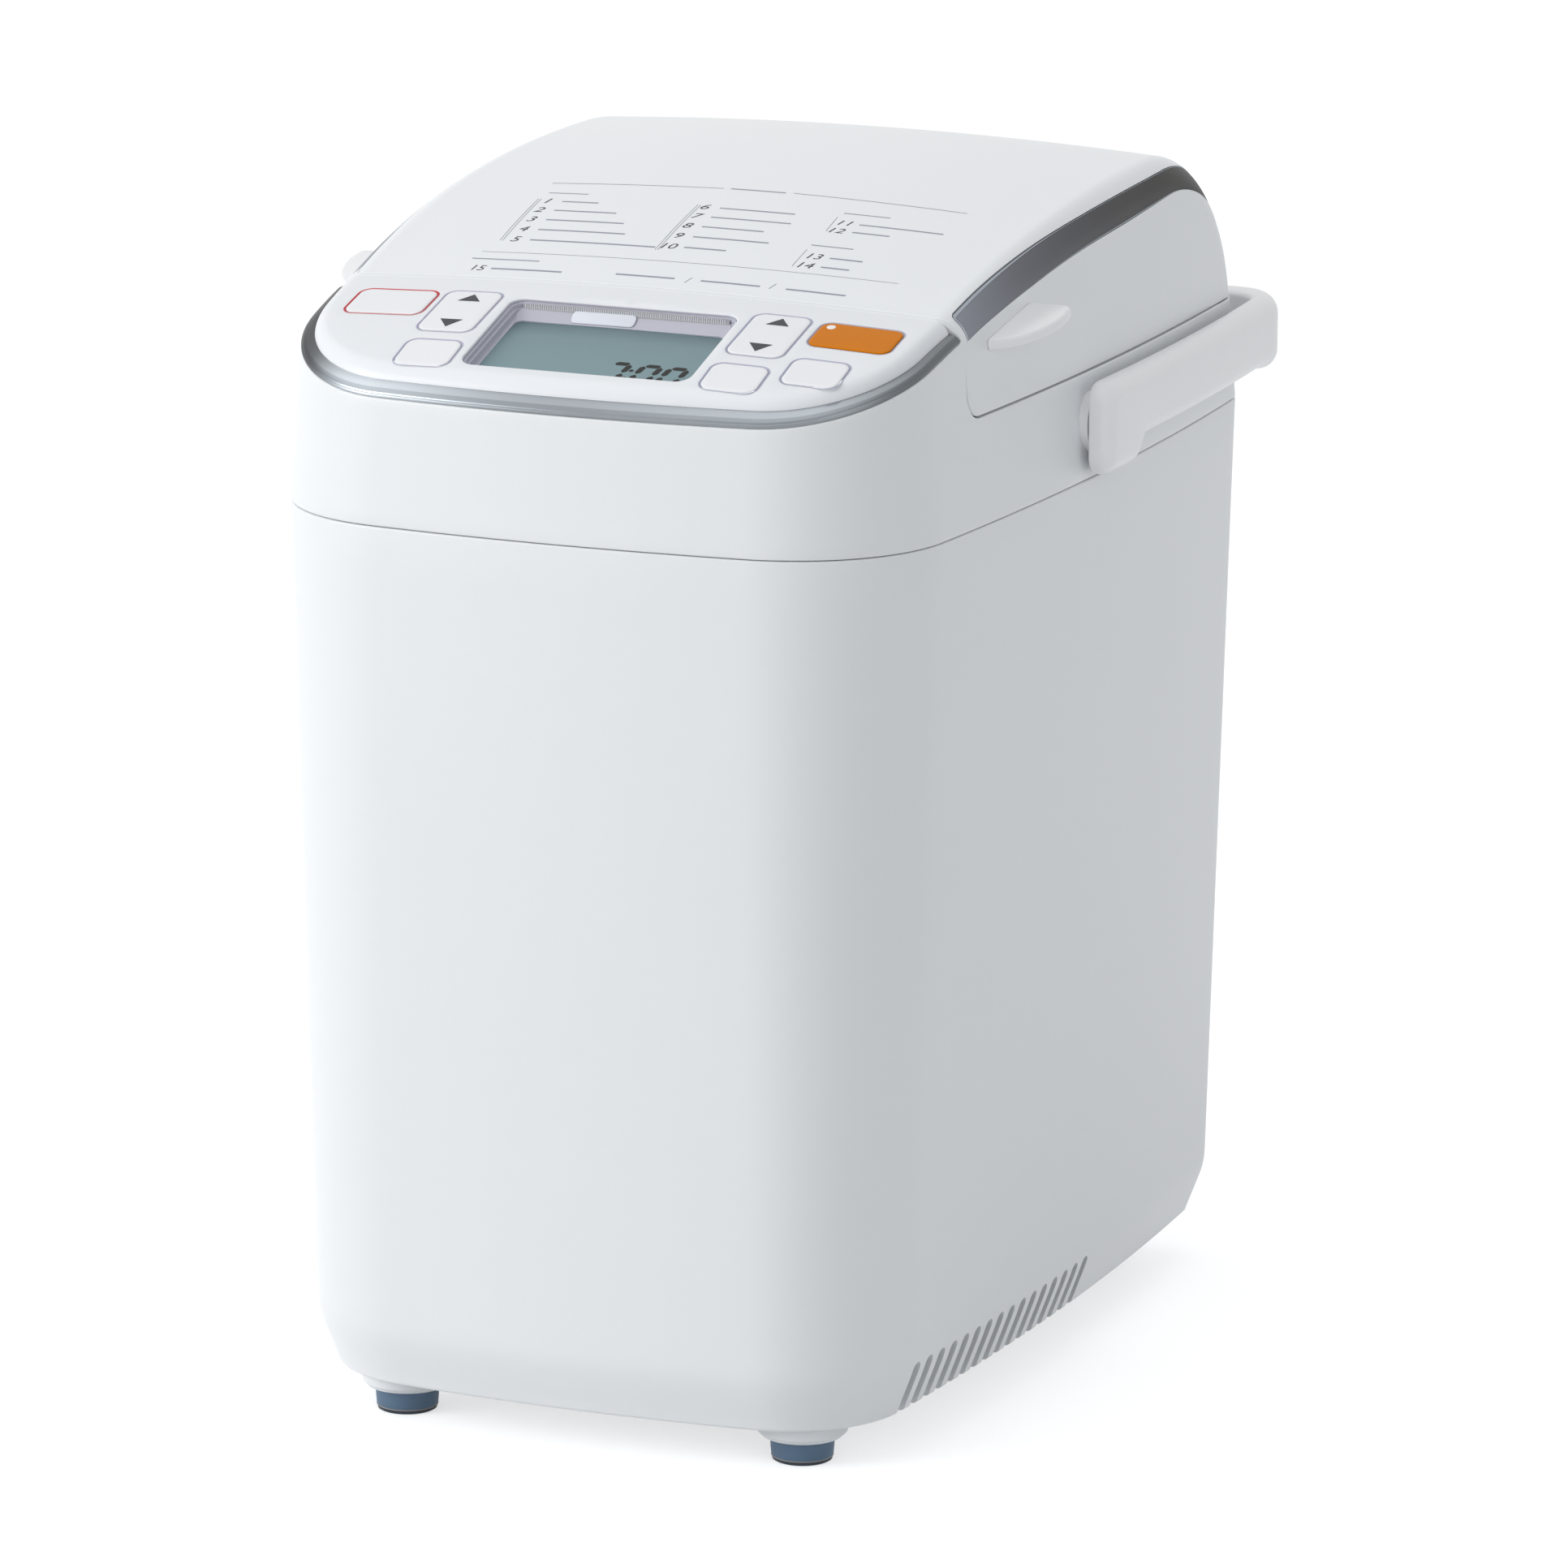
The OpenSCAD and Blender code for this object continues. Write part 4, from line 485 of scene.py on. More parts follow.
# Painted ABS strip, dark grey: its fall from satin grey in front to near black towards the rear is painted
# reflection and shade
STRIP_GREY = graded(
    made("dark_grey_satin_strip", "#FFFFFF", 0.4, 0.06, 30, 0.001, 0.3, ior=1.2),
    "Y", (-95, "#A6A9B2"), (-52, "#74767D"), (10, "#4E4D4F"), (66, "#32302D"), (140, "#262523"),
)
# Plated edge of the strip: a thin bright line
STRIP_EDGE = made("bright_strip_bevel", "#949BA3", 0.26, 0.03, 40, 0.001, metallic=1.0)
# Moulded rubber: dull slate blue
RUBBER = made("slate_rubber", "#58718A", 0.55, 0.06, 8, 0.02, 0.5)
# The same rubber on the tread, drawn almost black: painted shade where the foot meets the floor
RUBBER_DARK = made("slate_rubber_ridge", "#26313E", 0.6, 0.05, 8, 0.02)
# Moulded nylon and ABS inside the case: matt charcoal
DARK_PLASTIC = made("dark_matt_plastic", "#2C3034", 0.5, 0.05, 12, 0.01)
# Moulded ABS in a lilac tint: pale grey walls round the display
BEZEL = made("lilac_grey_bezel", "#BDBDC9", 0.4, 0.02, 12, 0.003)
# Printed plate behind the window: nearly white
BEZEL_LIGHT = made("pale_label_plate", "#E4E7F0", 0.35, 0.01, 12, 0.002)
# Moulded clear acrylic, drawn as glossy pale ribs: their pale colour is painted light that the clear ribs
# catch
RIB_CLEAR = made("clear_ribbed_wall", "#E6E8EC", 0.16, 0.02, 6, 0.001, coat=0.5)
# Mid grey sheet behind the ribs: painted shade between them, which makes the ribs stand out
RIB_DARK = made("rib_shadow", "#A5A5A8", 0.3, 0.03, 5, 0.001)
# Glass over liquid crystal: flat grey teal, with painted shadow that darkens it towards the window's rear edge
LCD = graded(
    made("lcd_teal_grey", "#76949A", 0.34, 0.02, 25, 0.0008, 0.2),
    "Y", (-152, "#FFFFFF"), (-121, "#F4F4F4"), (-113, "#C4C4C8"), (-108, "#B0B0B8"),
)
# Switched-on liquid crystal: matt black bars
LCD_INK = made("lcd_segments_black", "#0C0A07", 0.7, 0.02, 5, 0.001)
# Screen-printed inks: thin matt colour with no relief of its own
LINE_GREY = made("key_line_lavender_grey", "#B6B8CA", 0.5, 0.02, 6, 0.001)
LINE_RED = made("key_line_red", "#C8323A", 0.45, 0.03, 6, 0.001)
INK = made("printed_ink_dark", "#23242B", 0.5, 0.03, 6, 0.001, 0.15)
INK_GREY = made("printed_ink_grey", "#9398A6", 0.5, 0.03, 6, 0.001, 0.15)
# Printed film on the start key: saturated warm orange
START_ORANGE = made("start_key_orange", "#DA7E06", 0.42, 0.05, 10, 0.002, ior=1.2)
# Dust and shade in the groove above a foot's tread: a grey brown line
FOOT_LINE = made("foot_line_grey_brown", "#9A938C", 0.5, 0.05, 6, 0.004)
# Moulded clear acrylic with a white core: a small bright dot
LAMP = made("light_guide_white", "#FBFAF6", 0.25, 0.01, 4, 0.001, coat=0.3)
# Glass epoxy under solder resist: glossy green
BOARD = made("circuit_board_green", "#2A6B49", 0.4, 0.08, 5, 0.01, coat=0.3)
# Phenolic paper laminate: matt tan
LAMINATE = made("board_laminate_tan", "#8A6B3A", 0.5, 0.08, 5, 0.01)
# Rolled steel, brushed along the sheet: grey with fine upright streaks
STEEL = made("brushed_steel_sheet", "#B9BDC1", 0.32, 0.04, 15, 0.004, 0.25, (1, 1, 14), metallic=1.0)
# Turned and nickel-plated steel: bright and smooth
BRIGHT_STEEL = made("plated_steel", "#C5C9CD", 0.2, 0.03, 8, 0.002, metallic=1.0)
# Moulded silicone: dull pale grey
GASKET = made("silicone_gasket", "#C9CDCF", 0.55, 0.03, 10, 0.008)
# Stainless tube oxidised by heat: blotchy dark grey
HEATER = made("heater_tube_oxidised", "#66686A", 0.5, 0.15, 9, 0.01, metallic=0.7)
# Sprayed fluoropolymer on die-cast aluminium: speckled dark grey
NONSTICK = made("nonstick_coating_grey", "#55585C", 0.42, 0.07, 6, 0.012, 0.35, metallic=0.3, coat=0.1)
# Pressed and sintered bronze: dull gold with open pores
BRONZE = made("sintered_bronze", "#A9854F", 0.4, 0.08, 4, 0.01, metallic=1.0)
# Die-cast zinc, tumbled: mottled mid grey
ZINC = made("die_cast_zinc", "#9A9DA1", 0.45, 0.05, 6, 0.012, metallic=0.9)
# Steel can with thin grey paint: even mid grey
MOTOR = made("motor_can_painted", "#8E9296", 0.4, 0.04, 12, 0.006, metallic=0.6)
# Moulded neoprene: dull black
BELT = made("toothed_belt_rubber", "#26282A", 0.65, 0.06, 5, 0.015)

CAD_LOOKS = (
    (ABS, "base_plate lid_frame steam_grille hinge_knuckles hinge_brackets chamber_rim"),
    (ABS, "lower_case upper_case lid_side_right lid_side_left"),
    (KEY_ABS, "cancel_key course_key crust_key time_key timer_key cycle_key"),
    (HANDLE_ABS, "handle_pivots lid_tabs carry_handle"),
    (DARK_PLASTIC, "cord_gland display_module key_switches pan_seal drive_pulley"),
    (BRIGHT_STEEL, "case_screws hinge_pins pan_bail pan_shaft drive_shaft"),
    (STEEL, "lid_liner chamber chassis"), (NONSTICK, "bread_pan kneading_blade"),
    (ZINC, "temperature_sensor pan_socket motor_pulley drive_coupling"),
    (STRIP_GREY, "lid_trim_right lid_trim_left"),
    (RUBBER, "rubber_feet"), (BOARD, "control_board"), (LAMINATE, "power_board"), (GASKET, "lid_gasket"),
    (HEATER, "heater"), (MOTOR, "motor"), (BELT, "drive_belt"), (BRONZE, "drive_bearing"),
    (CHROME_SATIN, "panel_trim"), (PANEL_FILM, "panel_cover"), (BEZEL, "display_bezel"),
    (LCD, "display_glass"), (START_ORANGE, "start_key"), (LAMP, "start_lamp"), (LID_ABS, "lid_cover"),
)
for look, names in CAD_LOOKS:
    for name in names.split():
        data = NODES[name].data
        data.materials.clear()
        data.materials.append(look)
        for poly in data.polygons:
            poly.material_index = 0


# ---------------------------------------------------------------- camera, floor and light
def add_camera():
    turn, tilt, roll = radians(22.946), radians(13.246), radians(0.218)
    focal_px, frame_px, distance = 11727.0, 1932, 2948.0
    aim, off_right, off_above = Vector((0, 170, 150)), -1.85, -20.98
    ahead = Vector((-sin(turn) * cos(tilt), cos(turn) * cos(tilt), -sin(tilt)))
    level = Vector((cos(turn), sin(turn), 0))
    up = level.cross(ahead)
    right = level * cos(roll) + up * sin(roll)
    above = -level * sin(roll) + up * cos(roll)
    data = bpy.data.cameras.new("camera")
    data.sensor_width = 36
    data.lens = focal_px / frame_px * 36
    data.clip_end = 60
    cam = add_object("camera", data)
    m = Matrix((right, above, -ahead)).transposed().to_4x4()
    m.translation = metres(aim - ahead * distance - right * off_right - above * off_above)
    cam.matrix_world = m
    bpy.context.scene.camera = cam


def area_light(name, place, target, size, power):
    data = bpy.data.lights.new(name, "AREA")
    data.shape = "RECTANGLE"
    data.size, data.size_y = size
    data.energy = power
    aim = Vector(target) - Vector(place)
    turn = aim.to_track_quat("-Z", "Y").to_matrix().to_4x4()
    add_object(name, data).matrix_world = Matrix.Translation(place) @ turn


def seen_directly(tree):
    """One for rays from the camera, and for those that metal or glass sends on."""
    path = add_node(tree, "ShaderNodeLightPath").outputs
    seen = path["Is Camera Ray"]
    for name in ("Is Glossy Ray", "Is Transmission Ray"):
        seen = add_node(tree, "ShaderNodeMath", {0: seen, 1: path[name]}, operation="MAXIMUM").outputs[0]
    return seen


FLOOR_HALF, FLOOR_GLOW = 14.0, 0.62
STUDIO_LEVEL, STUDIO_COLOUR = 0.44, (0.95, 0.975, 1.0, 1)


def add_stage():
    data = bpy.data.meshes.new("floor")
    corners = [(x * FLOOR_HALF, y * FLOOR_HALF, 0) for x, y in ((-1, -1), (1, -1), (1, 1), (-1, 1))]
    data.from_pydata(corners, [], [(0, 1, 2, 3)])
    # Sheet of matt paper: white where it is seen, with the machine's own shadow
    m, tree, shader = base_material("floor_pale_paper", "#DCDDDE", 0.9)
    level = add_node(tree, "ShaderNodeMath", {0: seen_directly(tree), 1: FLOOR_GLOW}, operation="MULTIPLY")
    glow = add_node(tree, "ShaderNodeEmission", {"Strength": level.outputs[0]})
    both = add_node(tree, "ShaderNodeAddShader", {0: shader.outputs["BSDF"], 1: glow.outputs["Emission"]})
    add_node(tree, tree.nodes["Material Output"], {"Surface": both.outputs["Shader"]})
    data.materials.append(m)
    add_object("floor", data)
    world = bpy.data.worlds.new("studio")
    bpy.context.scene.world = world
    world.use_nodes = True
    tree = world.node_tree
    studio = add_node(tree, tree.nodes["Background"], {"Color": STUDIO_COLOUR, "Strength": STUDIO_LEVEL})
    paper = add_node(tree, "ShaderNodeBackground", {"Color": (1, 1, 1, 1), "Strength": 1.0})
    choose = add_node(tree, "ShaderNodeMixShader", {
        0: seen_directly(tree), 1: studio.outputs["Background"], 2: paper.outputs["Background"],
    })
    add_node(tree, tree.nodes["World Output"], {"Surface": choose.outputs["Shader"]})
    area_light("overhead", (-0.6, -0.2, 2.6), (0, 0, 0.1), (3.0, 3.0), 17)
    area_light("left_front", (-2.4, -2.2, 1.3), (0, 0, 0.2), (1.8, 1.6), 55)
    area_light("right_fill", (2.6, -1.4, 1.3), (0, 0, 0.2), (2.0, 2.0), 9)
    bpy.context.scene.view_settings.view_transform = "Standard"


add_camera()
add_stage()


# ---------------------------------------------------------------- rows of cutters and ribs
def row_of(data, name, count, step, start, material):
    """A plain mesh object of count copies of a mesh in a row, made by Geometry Nodes."""
    unit = bpy.data.objects.new(name + "_unit", data)
    tree = bpy.data.node_groups.new(name, "GeometryNodeTree")
    for key, kind in (("Count", "Int"), ("Start", "Vector"), ("Step", "Vector")):
        tree.interface.new_socket(key, in_out="INPUT", socket_type="NodeSocket" + kind)
    tree.interface.new_socket("Geometry", in_out="OUTPUT", socket_type="NodeSocketGeometry")
    sizes = add_node(tree, "NodeGroupInput").outputs
    line = add_node(tree, "GeometryNodeMeshLine", {
        "Count": sizes["Count"], "Start Location": sizes["Start"], "Offset": sizes["Step"],
    }, mode="OFFSET")
    copy = add_node(tree, "GeometryNodeObjectInfo", {"Object": unit})
    spread = add_node(tree, "GeometryNodeInstanceOnPoints", {
        "Points": line.outputs["Mesh"], "Instance": copy.outputs["Geometry"],
    })
    real = add_node(tree, "GeometryNodeRealizeInstances", {"Geometry": spread.outputs["Instances"]})
    paint = add_node(tree, "GeometryNodeSetMaterial", {
        "Geometry": real.outputs["Geometry"], "Material": material,
    })
    add_node(tree, "NodeGroupOutput", {0: paint.outputs["Geometry"]})
    host = add_object(name + "_host", bpy.data.meshes.new(name + "_host"))
    row = host.modifiers.new("row", "NODES")
    row.node_group = tree
    sockets = [item.identifier for item in tree.interface.items_tree if item.in_out == "INPUT"]
    for key, value in zip(sockets, (count, Vector(start), Vector(step))):
        row[key] = value
    graph = bpy.context.evaluated_depsgraph_get()
    obj = add_object(name, bpy.data.meshes.new_from_object(host.evaluated_get(graph)))
    for used in (host, unit):
        bpy.data.objects.remove(used)
    bpy.data.node_groups.remove(tree)
    return obj


# ---------------------------------------------------------------- lower case
BOTTOM_R, RIM_R, SLOT_FOOT_Z = 1.6, 0.55, 5.0


def slot_cutter():
    """Every air slot on the right side."""
    r = SLOT_W / 2
    profile = [(r * cos(a), SKIRT_TOP - r + r * sin(a)) for a in steps(0, pi, 12)]
    profile += [(-r, SLOT_FOOT_Z), (r, SLOT_FOOT_Z)]
    data = prism("slot", *([(x / 1000, y / 1000, z / 1000) for y, z in profile] for x in (80.0, 125.0)))
    return row_of(data, "slots", SLOT_COUNT, (0, SLOT_PITCH / 1000, 0), metres((0, SLOT_FIRST_Y, 0)), ABS)


def lower_case():
    top, soft = PARTING_Z - FIT, CASE_BOTTOM_Z + BOTTOM_R
    foot = [(lower_in(soft) + CASE_WALL + 1.5, CASE_BOTTOM_Z)]
    rise = [(lower_in(soft) + i, soft - BOTTOM_R + j) for i, j in quarter(5, BOTTOM_R)[::-1]]
    heights = (18, 21, 24, 26, 27.5, 28.7, 30, 31.3, 32.6, 34, 37, 42, 60, 110, 170, 230, 265)
    lip = [(lower_in(top) + j, top - i) for i, j in quarter(4, RIM_R)[::-1]]
    back = [(lower_in(z) + CASE_WALL, z) for z in (top, 150, 36, 29)]
    profile = foot + rise + [(lower_in(z), z) for z in heights] + lip + back + foot
    shell = Build().rings([[(p.x, p.y, z) for p in plan(d)] for d, z in profile])
    shell.piece("case_lower_shell", "case", ABS, "white_abs", "lower_case", 38, [slot_cutter()])


# ---------------------------------------------------------------- upper case
SEAM_FILLET = 8.6
RIDGE_W, RIDGE_GAP, RIDGE_EDGE = 2.3, 0.2, 0.35
TOP_EDGE, DECK_SINK, MOUTH_LIP, WALL_END = 0.45, 0.02, 2.6, 4.5
MOUTH = (178.4, 188.4, 31)  # width, depth and corner radius of the chamber's mouth
SEAM_YS = [PANEL_REAR_Y - 0.06, PANEL_REAR_Y + 0.02] + [
    PANEL_REAR_Y + 0.02 + i for i, _ in quarter(8, SEAM_FILLET)[1:]
]


def blended(rings, make, d, i):
    """Point i of the ring that make(d) would give, between two rings kept at quarter millimetres."""
    low = int(d * 4) / 4
    for k in (low, low + 0.25):
        if k not in rings:
            rings[k] = make(k)
    return Vector(rings[low][i]).lerp(Vector(rings[low + 0.25][i]), (d - low) / 0.25)


def case_top(x, y, drop=TRIM_DROP):
    """Height of the upper case's rim: under the panel in front, then down to the lid's seam."""
    if y < PANEL_REAR_Y - 0.03:
        return panel_z(x, y, drop)
    t = (y - PANEL_REAR_Y - 0.02) / SEAM_FILLET
    return LID_SEAM_Z + (0 if t >= 1 else SEAM_FILLET * (1 - sqrt(max(0.0, 1 - (1 - t) ** 2))))


def upper_case():
    foot = PARTING_Z + FIT
    kept = {}

    def foot_ring(d, z):
        return [(p.x, p.y, z) for p in plan(upper_in(foot) + d, SEAM_YS)]

    def rim_row(t, inset, sink):
        out = []
        for i, p in enumerate(plan(0, SEAM_YS)):
            for _ in range(3):
                top = case_top(p.x, p.y) - sink
                p = blended(kept, lambda d: plan(d, SEAM_YS), upper_in(top) + inset, i)
            z = mix(foot + RIM_R, top, t)
            p = blended(kept, lambda d: plan(d, SEAM_YS), upper_in(z) + inset, i)
            out.append((p.x, p.y, z))
        return out

    b = Build()
    rows = [foot_ring(CASE_WALL, foot)]
    rows += [foot_ring(j, foot + i) for i, j in quarter(4, RIM_R)]
    rows += [rim_row(t, 0, TOP_EDGE) for t in (0.08, 0.3, 0.55, 0.8, 0.94)]
    rows += [rim_row(1, i, j) for i, j in quarter(4, TOP_EDGE)]
    b.rings(rows + [rim_row(1, CASE_WALL, 0), rim_row(0.5, CASE_WALL, 0)])
    # Deck round the chamber's mouth
    deck_z = LID_SEAM_Z - DECK_SINK
    mouth = [(x, CHAMBER_Y + y, deck_z) for x, y in rounded_rect(*MOUTH, 10)]
    rim = [p for p in plan(upper_in(LID_SEAM_Z) + 0.5, SEAM_YS) if p.y > PANEL_REAR_Y + 1]
    loops = [[(p.x, p.y, deck_z) for p in rim], mouth]
    tris = tessellate_polygon([[Vector((p[0], p[1], 0)) for p in loop] for loop in loops])
    b.add(loops[0] + mouth, tris)
    b.rings([mouth, [(x, y, z - MOUTH_LIP) for x, y, z in mouth]])
    # Wall that faces the front of the lid
    half = side_x(PANEL_REAR_Y) - WALL_END
    xs = steps(-half, half, 40)
    top = [panel_z(x, PANEL_REAR_Y, TRIM_DROP) for x in xs]
    b.grid([
        [(x, PANEL_REAR_Y, LID_SEAM_Z - 2) for x in xs],
        [(x, PANEL_REAR_Y, z) for x, z in zip(xs, top)],
        [(x, PANEL_REAR_Y - CASE_WALL, z) for x, z in zip(xs, top)],
    ])
    b.piece("case_upper_shell", "case", ABS, "white_abs", "upper_case", 36)


lower_case()
upper_case()


# ---------------------------------------------------------------- trim and panel
def u_ring(d, lift, end):
    """The outline moved in by d, from the left seam round the front to the right seam."""
    right = front_half(d, 12, 26)
    right += [Vector((side_x(y, d), y)) for y in steps(right[-1].y, end, 8)[1:]]
    pts = [Vector((-p.x, p.y)) for p in right[:0:-1]] + right
    return [(p.x, p.y, lift(p.x, p.y)) for p in pts]


def lean_ring(extra, drop, end):
    """A ring just inside the case's leaning sides, at a depth under the panel's curve."""
    kept, out = {}, []
    for i, p in enumerate(u_ring(extra + upper_in(LID_SEAM_Z), lambda x, y: panel_z(x, y, drop), end)):
        q = blended(kept, lambda d: u_ring(d, lambda x, y: 0, end), extra + upper_in(p[2]), i)
        out.append((q.x, q.y, panel_z(q.x, q.y, drop)))
    return out


COVER_MESH, KEY_MESH = 3.4, 1.6  # spacing of the points on the cover and on a key
HOLE_EDGE, HOLE_WALL, WINDOW_EDGE, WINDOW_WALL = 0.3, 2.4, 0.5, 1.4


def panel_trim():
    """Bright strip between the case and the cover: a rounded belly over a fine lower lip.

    The profiles give the inset from the case's side and the depth under the panel's curve.
    """
    lip = [(1.8, 5.5), (0.4, 5.5), (0.2, 5.42), (0.1, 5.25), (0.08, 4.85), (0.14, 4.62), (0.34, 4.5)]
    belly = [(0.34 + i, 3.15 + j) for i, j in quarter(12, 3.8, 1.35)]
    channel = [(5.4, 3.1), (6.6, 3.12), (7.18, 3.25), (7.22, 4.6)]
    for name, profile, look, node in (
        ("lip", lip, CHROME_LIP, None), ("outer", belly[:7], CHROME_MID, None),
        ("belly", belly[6:] + channel, CHROME_SATIN, "panel_trim"),
    ):
        band = Build().grid([lean_ring(d, drop, PANEL_REAR_Y - RIDGE_W + 0.2) for d, drop in profile])
        band.piece("panel_trim_" + name, "case", look, "silver_trim", node, 30)


def lipped_hole(b, loop, at, radius, depth):
    """Rounded edge of an opening in the cover; its outer ring is loop."""
    centre = Vector((sum(p[0] for p in loop) / len(loop), sum(p[1] for p in loop) / len(loop)))
    out = panel_frame(*at)[2]
    ways = []
    for p, before, after in zip(loop, loop[-1:] + loop[:-1], loop[1:] + loop[:1]):
        t = (Vector(after[:2]) - Vector(before[:2])).normalized()
        inward = Vector((-t.y, t.x))
        ways.append(-inward if (centre - Vector(p[:2])).dot(inward) < 0 else inward)
    rows = []
    for i, j in quarter(4, radius):
        edge = [(p[0] + w.x * (radius - j), p[1] + w.y * (radius - j)) for p, w in zip(loop, ways)]
        rows.append([Vector((x, y, panel_z(x, y))) - out * i for x, y in edge])
    rows.append([q - out * depth for q in rows[-1]])
    b.rings(rows)


def panel_cover():
    end = PANEL_REAR_Y - RIDGE_W - 0.3
    profile = [(COVER_INSET + 0.02, 5.0)]
    profile += [(COVER_INSET + i, j) for i, j in quarter(12, COVER_ROUND, COVER_SIDE_DROP)]
    rows = [u_ring(d, lambda x, y: panel_z(x, y, drop), end) for d, drop in profile]
    b = Build().grid(rows)
    half = rows[-1][-1][0]
    xs = steps(half, -half, 60)
    outline = [(p[0], p[1]) for p in rows[-1]] + [(x, end) for x in xs[1:-1]]
    grow = KEY_GAP + HOLE_EDGE
    holes = [
        (panel_ring(at, w + 2 * grow, d + 2 * grow, KEY_CORNER + grow, n=7), at, HOLE_EDGE, HOLE_WALL)
        for at, (w, d) in KEYS.values()
    ]
    at, grow = (0, WINDOW_Y), WINDOW_EDGE
    window = panel_ring(at, WINDOW_W + 2 * grow, WINDOW_D + 2 * grow, WINDOW_CORNER + grow, n=10)
    holes.append((window, at, WINDOW_EDGE, WINDOW_WALL))
    b.add(*drape(outline, [[(p[0], p[1]) for p in hole[0]] for hole in holes], COVER_MESH, panel_z))
    for hole in holes:
        lipped_hole(b, *hole)
    # Rear edge, which faces the lid
    b.grid([
        [(x, end + back, panel_z(x, end) - sink) for x in xs]
        for back, sink in ((0, 0), (0.12, 0.1), (0.2, 0.4), (0.2, 5))
    ])
    b.piece("panel_cover_film", "case", PANEL_FILM, "white_abs", "panel_cover", 34)


panel_trim()
panel_cover()


# ---------------------------------------------------------------- keys
KEY_SOFT, ARROW_AT, ARROW_HALF, PRINT_RISE = 0.9, 8.6, 3.7, 0.03


def key_cap(name, at, w, d):
    """A cap whose top follows the panel, with a soft raised edge."""
    rows = [panel_ring(at, w, d, KEY_CORNER, depth) for depth in (0.2 - KEY_BODY, -1.5, -0.1)]
    for i, j in quarter(6, KEY_SOFT, KEY_RISE):
        rows.append(panel_ring(at, w - 2 * i, d - 2 * i, KEY_CORNER - i, KEY_RISE - j))
    b = Build().rings(rows)
    top = rows[-1]
    verts, faces = drape(
        [(p[0], p[1]) for p in top], [], KEY_MESH,
        lambda x, y: (Vector((x, y, panel_z(x, y))) + KEY_RISE * panel_frame(x, y)[2]).z,
    )
    b.add(top + verts[len(top):], faces)
    look, slot = (START_ORANGE, "start_orange") if name == "start" else (KEY_ABS, "white_abs")
    b.piece(name + "_key_cap", name, look, slot, name + "_key")


def key_line(name, at, w, d):
    """Printed line that runs round a key, in the gap beside it."""
    line = Build().rings([
        panel_ring(at, w + 2 * grow, d + 2 * grow, KEY_CORNER + grow, height)
        for grow, height in (
            (0.05, -0.3), (0.36, -0.26), (0.42, -0.12), (0.52, 0.0), (0.66, 0.04), (0.85, 0.04)
        )
    ])
    line.piece(name + "_key_line", "case", LINE_RED if name == "cancel" else LINE_GREY, "bezel", sharp=60)


def rocker_arrows(name, at):
    for way, sign in (("up", 1), ("down", -1)):
        y = sign * ARROW_AT
        arrow = Build().fan([
            on_panel(at, p, q, KEY_RISE + PRINT_RISE)
            for p, q in ((-ARROW_HALF, y - sign * 2.5), (ARROW_HALF, y - sign * 2.5), (0, y + sign * 2.3))
        ])
        arrow.piece(f"{name}_arrow_{way}", name, INK, "dark_plastic", sharp=60, merge=False)


def start_lamp():
    dot = circle(LAMP_R * 1.05, 24)
    rows = [
        [on_panel(KEYS["start"][0], LAMP_IN[0] + p * grow, LAMP_IN[1] + q * grow, height) for p, q in dot]
        for grow, height in (
            (1.0, -1.0), (1.0, KEY_RISE + 0.02), (0.9, KEY_RISE + 0.07), (0.6, KEY_RISE + 0.1)
        )
    ]
    Build().rings(rows).fan(rows[-1]).piece("start_lamp_dot", "start", LAMP, "lamp_white", "start_lamp", 50)


for key, (at, size) in KEYS.items():
    key_cap(key, at, *size)
    key_line(key, at, *size)
for key in ROCKER_KEYS:
    rocker_arrows(key, KEYS[key][0])
start_lamp()


# ---------------------------------------------------------------- display
# Printed frame, screen and label plate in the panel's tangent plane, and the ribs' row
FRAME_W, FRAME_D, SCREEN_W, SCREEN_D, SCREEN_SHIFT = 69.8, 38.8, 67.4, 34.6, (0, -2.55)
PLATE_W, PLATE_D, PLATE_AT = 20.5, 3.9, (-6.4, 17.1)
RIB_HALF, RIB_PITCH, RIB_W, RIB_T = 32.4, 0.72, 0.4, 0.28
DISPLAY_AT = (0, WINDOW_Y)


def frame_depth(q):
    """The printed frame lies deep in front and rises towards the window's rear edge."""
    return -4.5 + 2.1 * min(1, max(0, (q - 14.9) / 4.2))


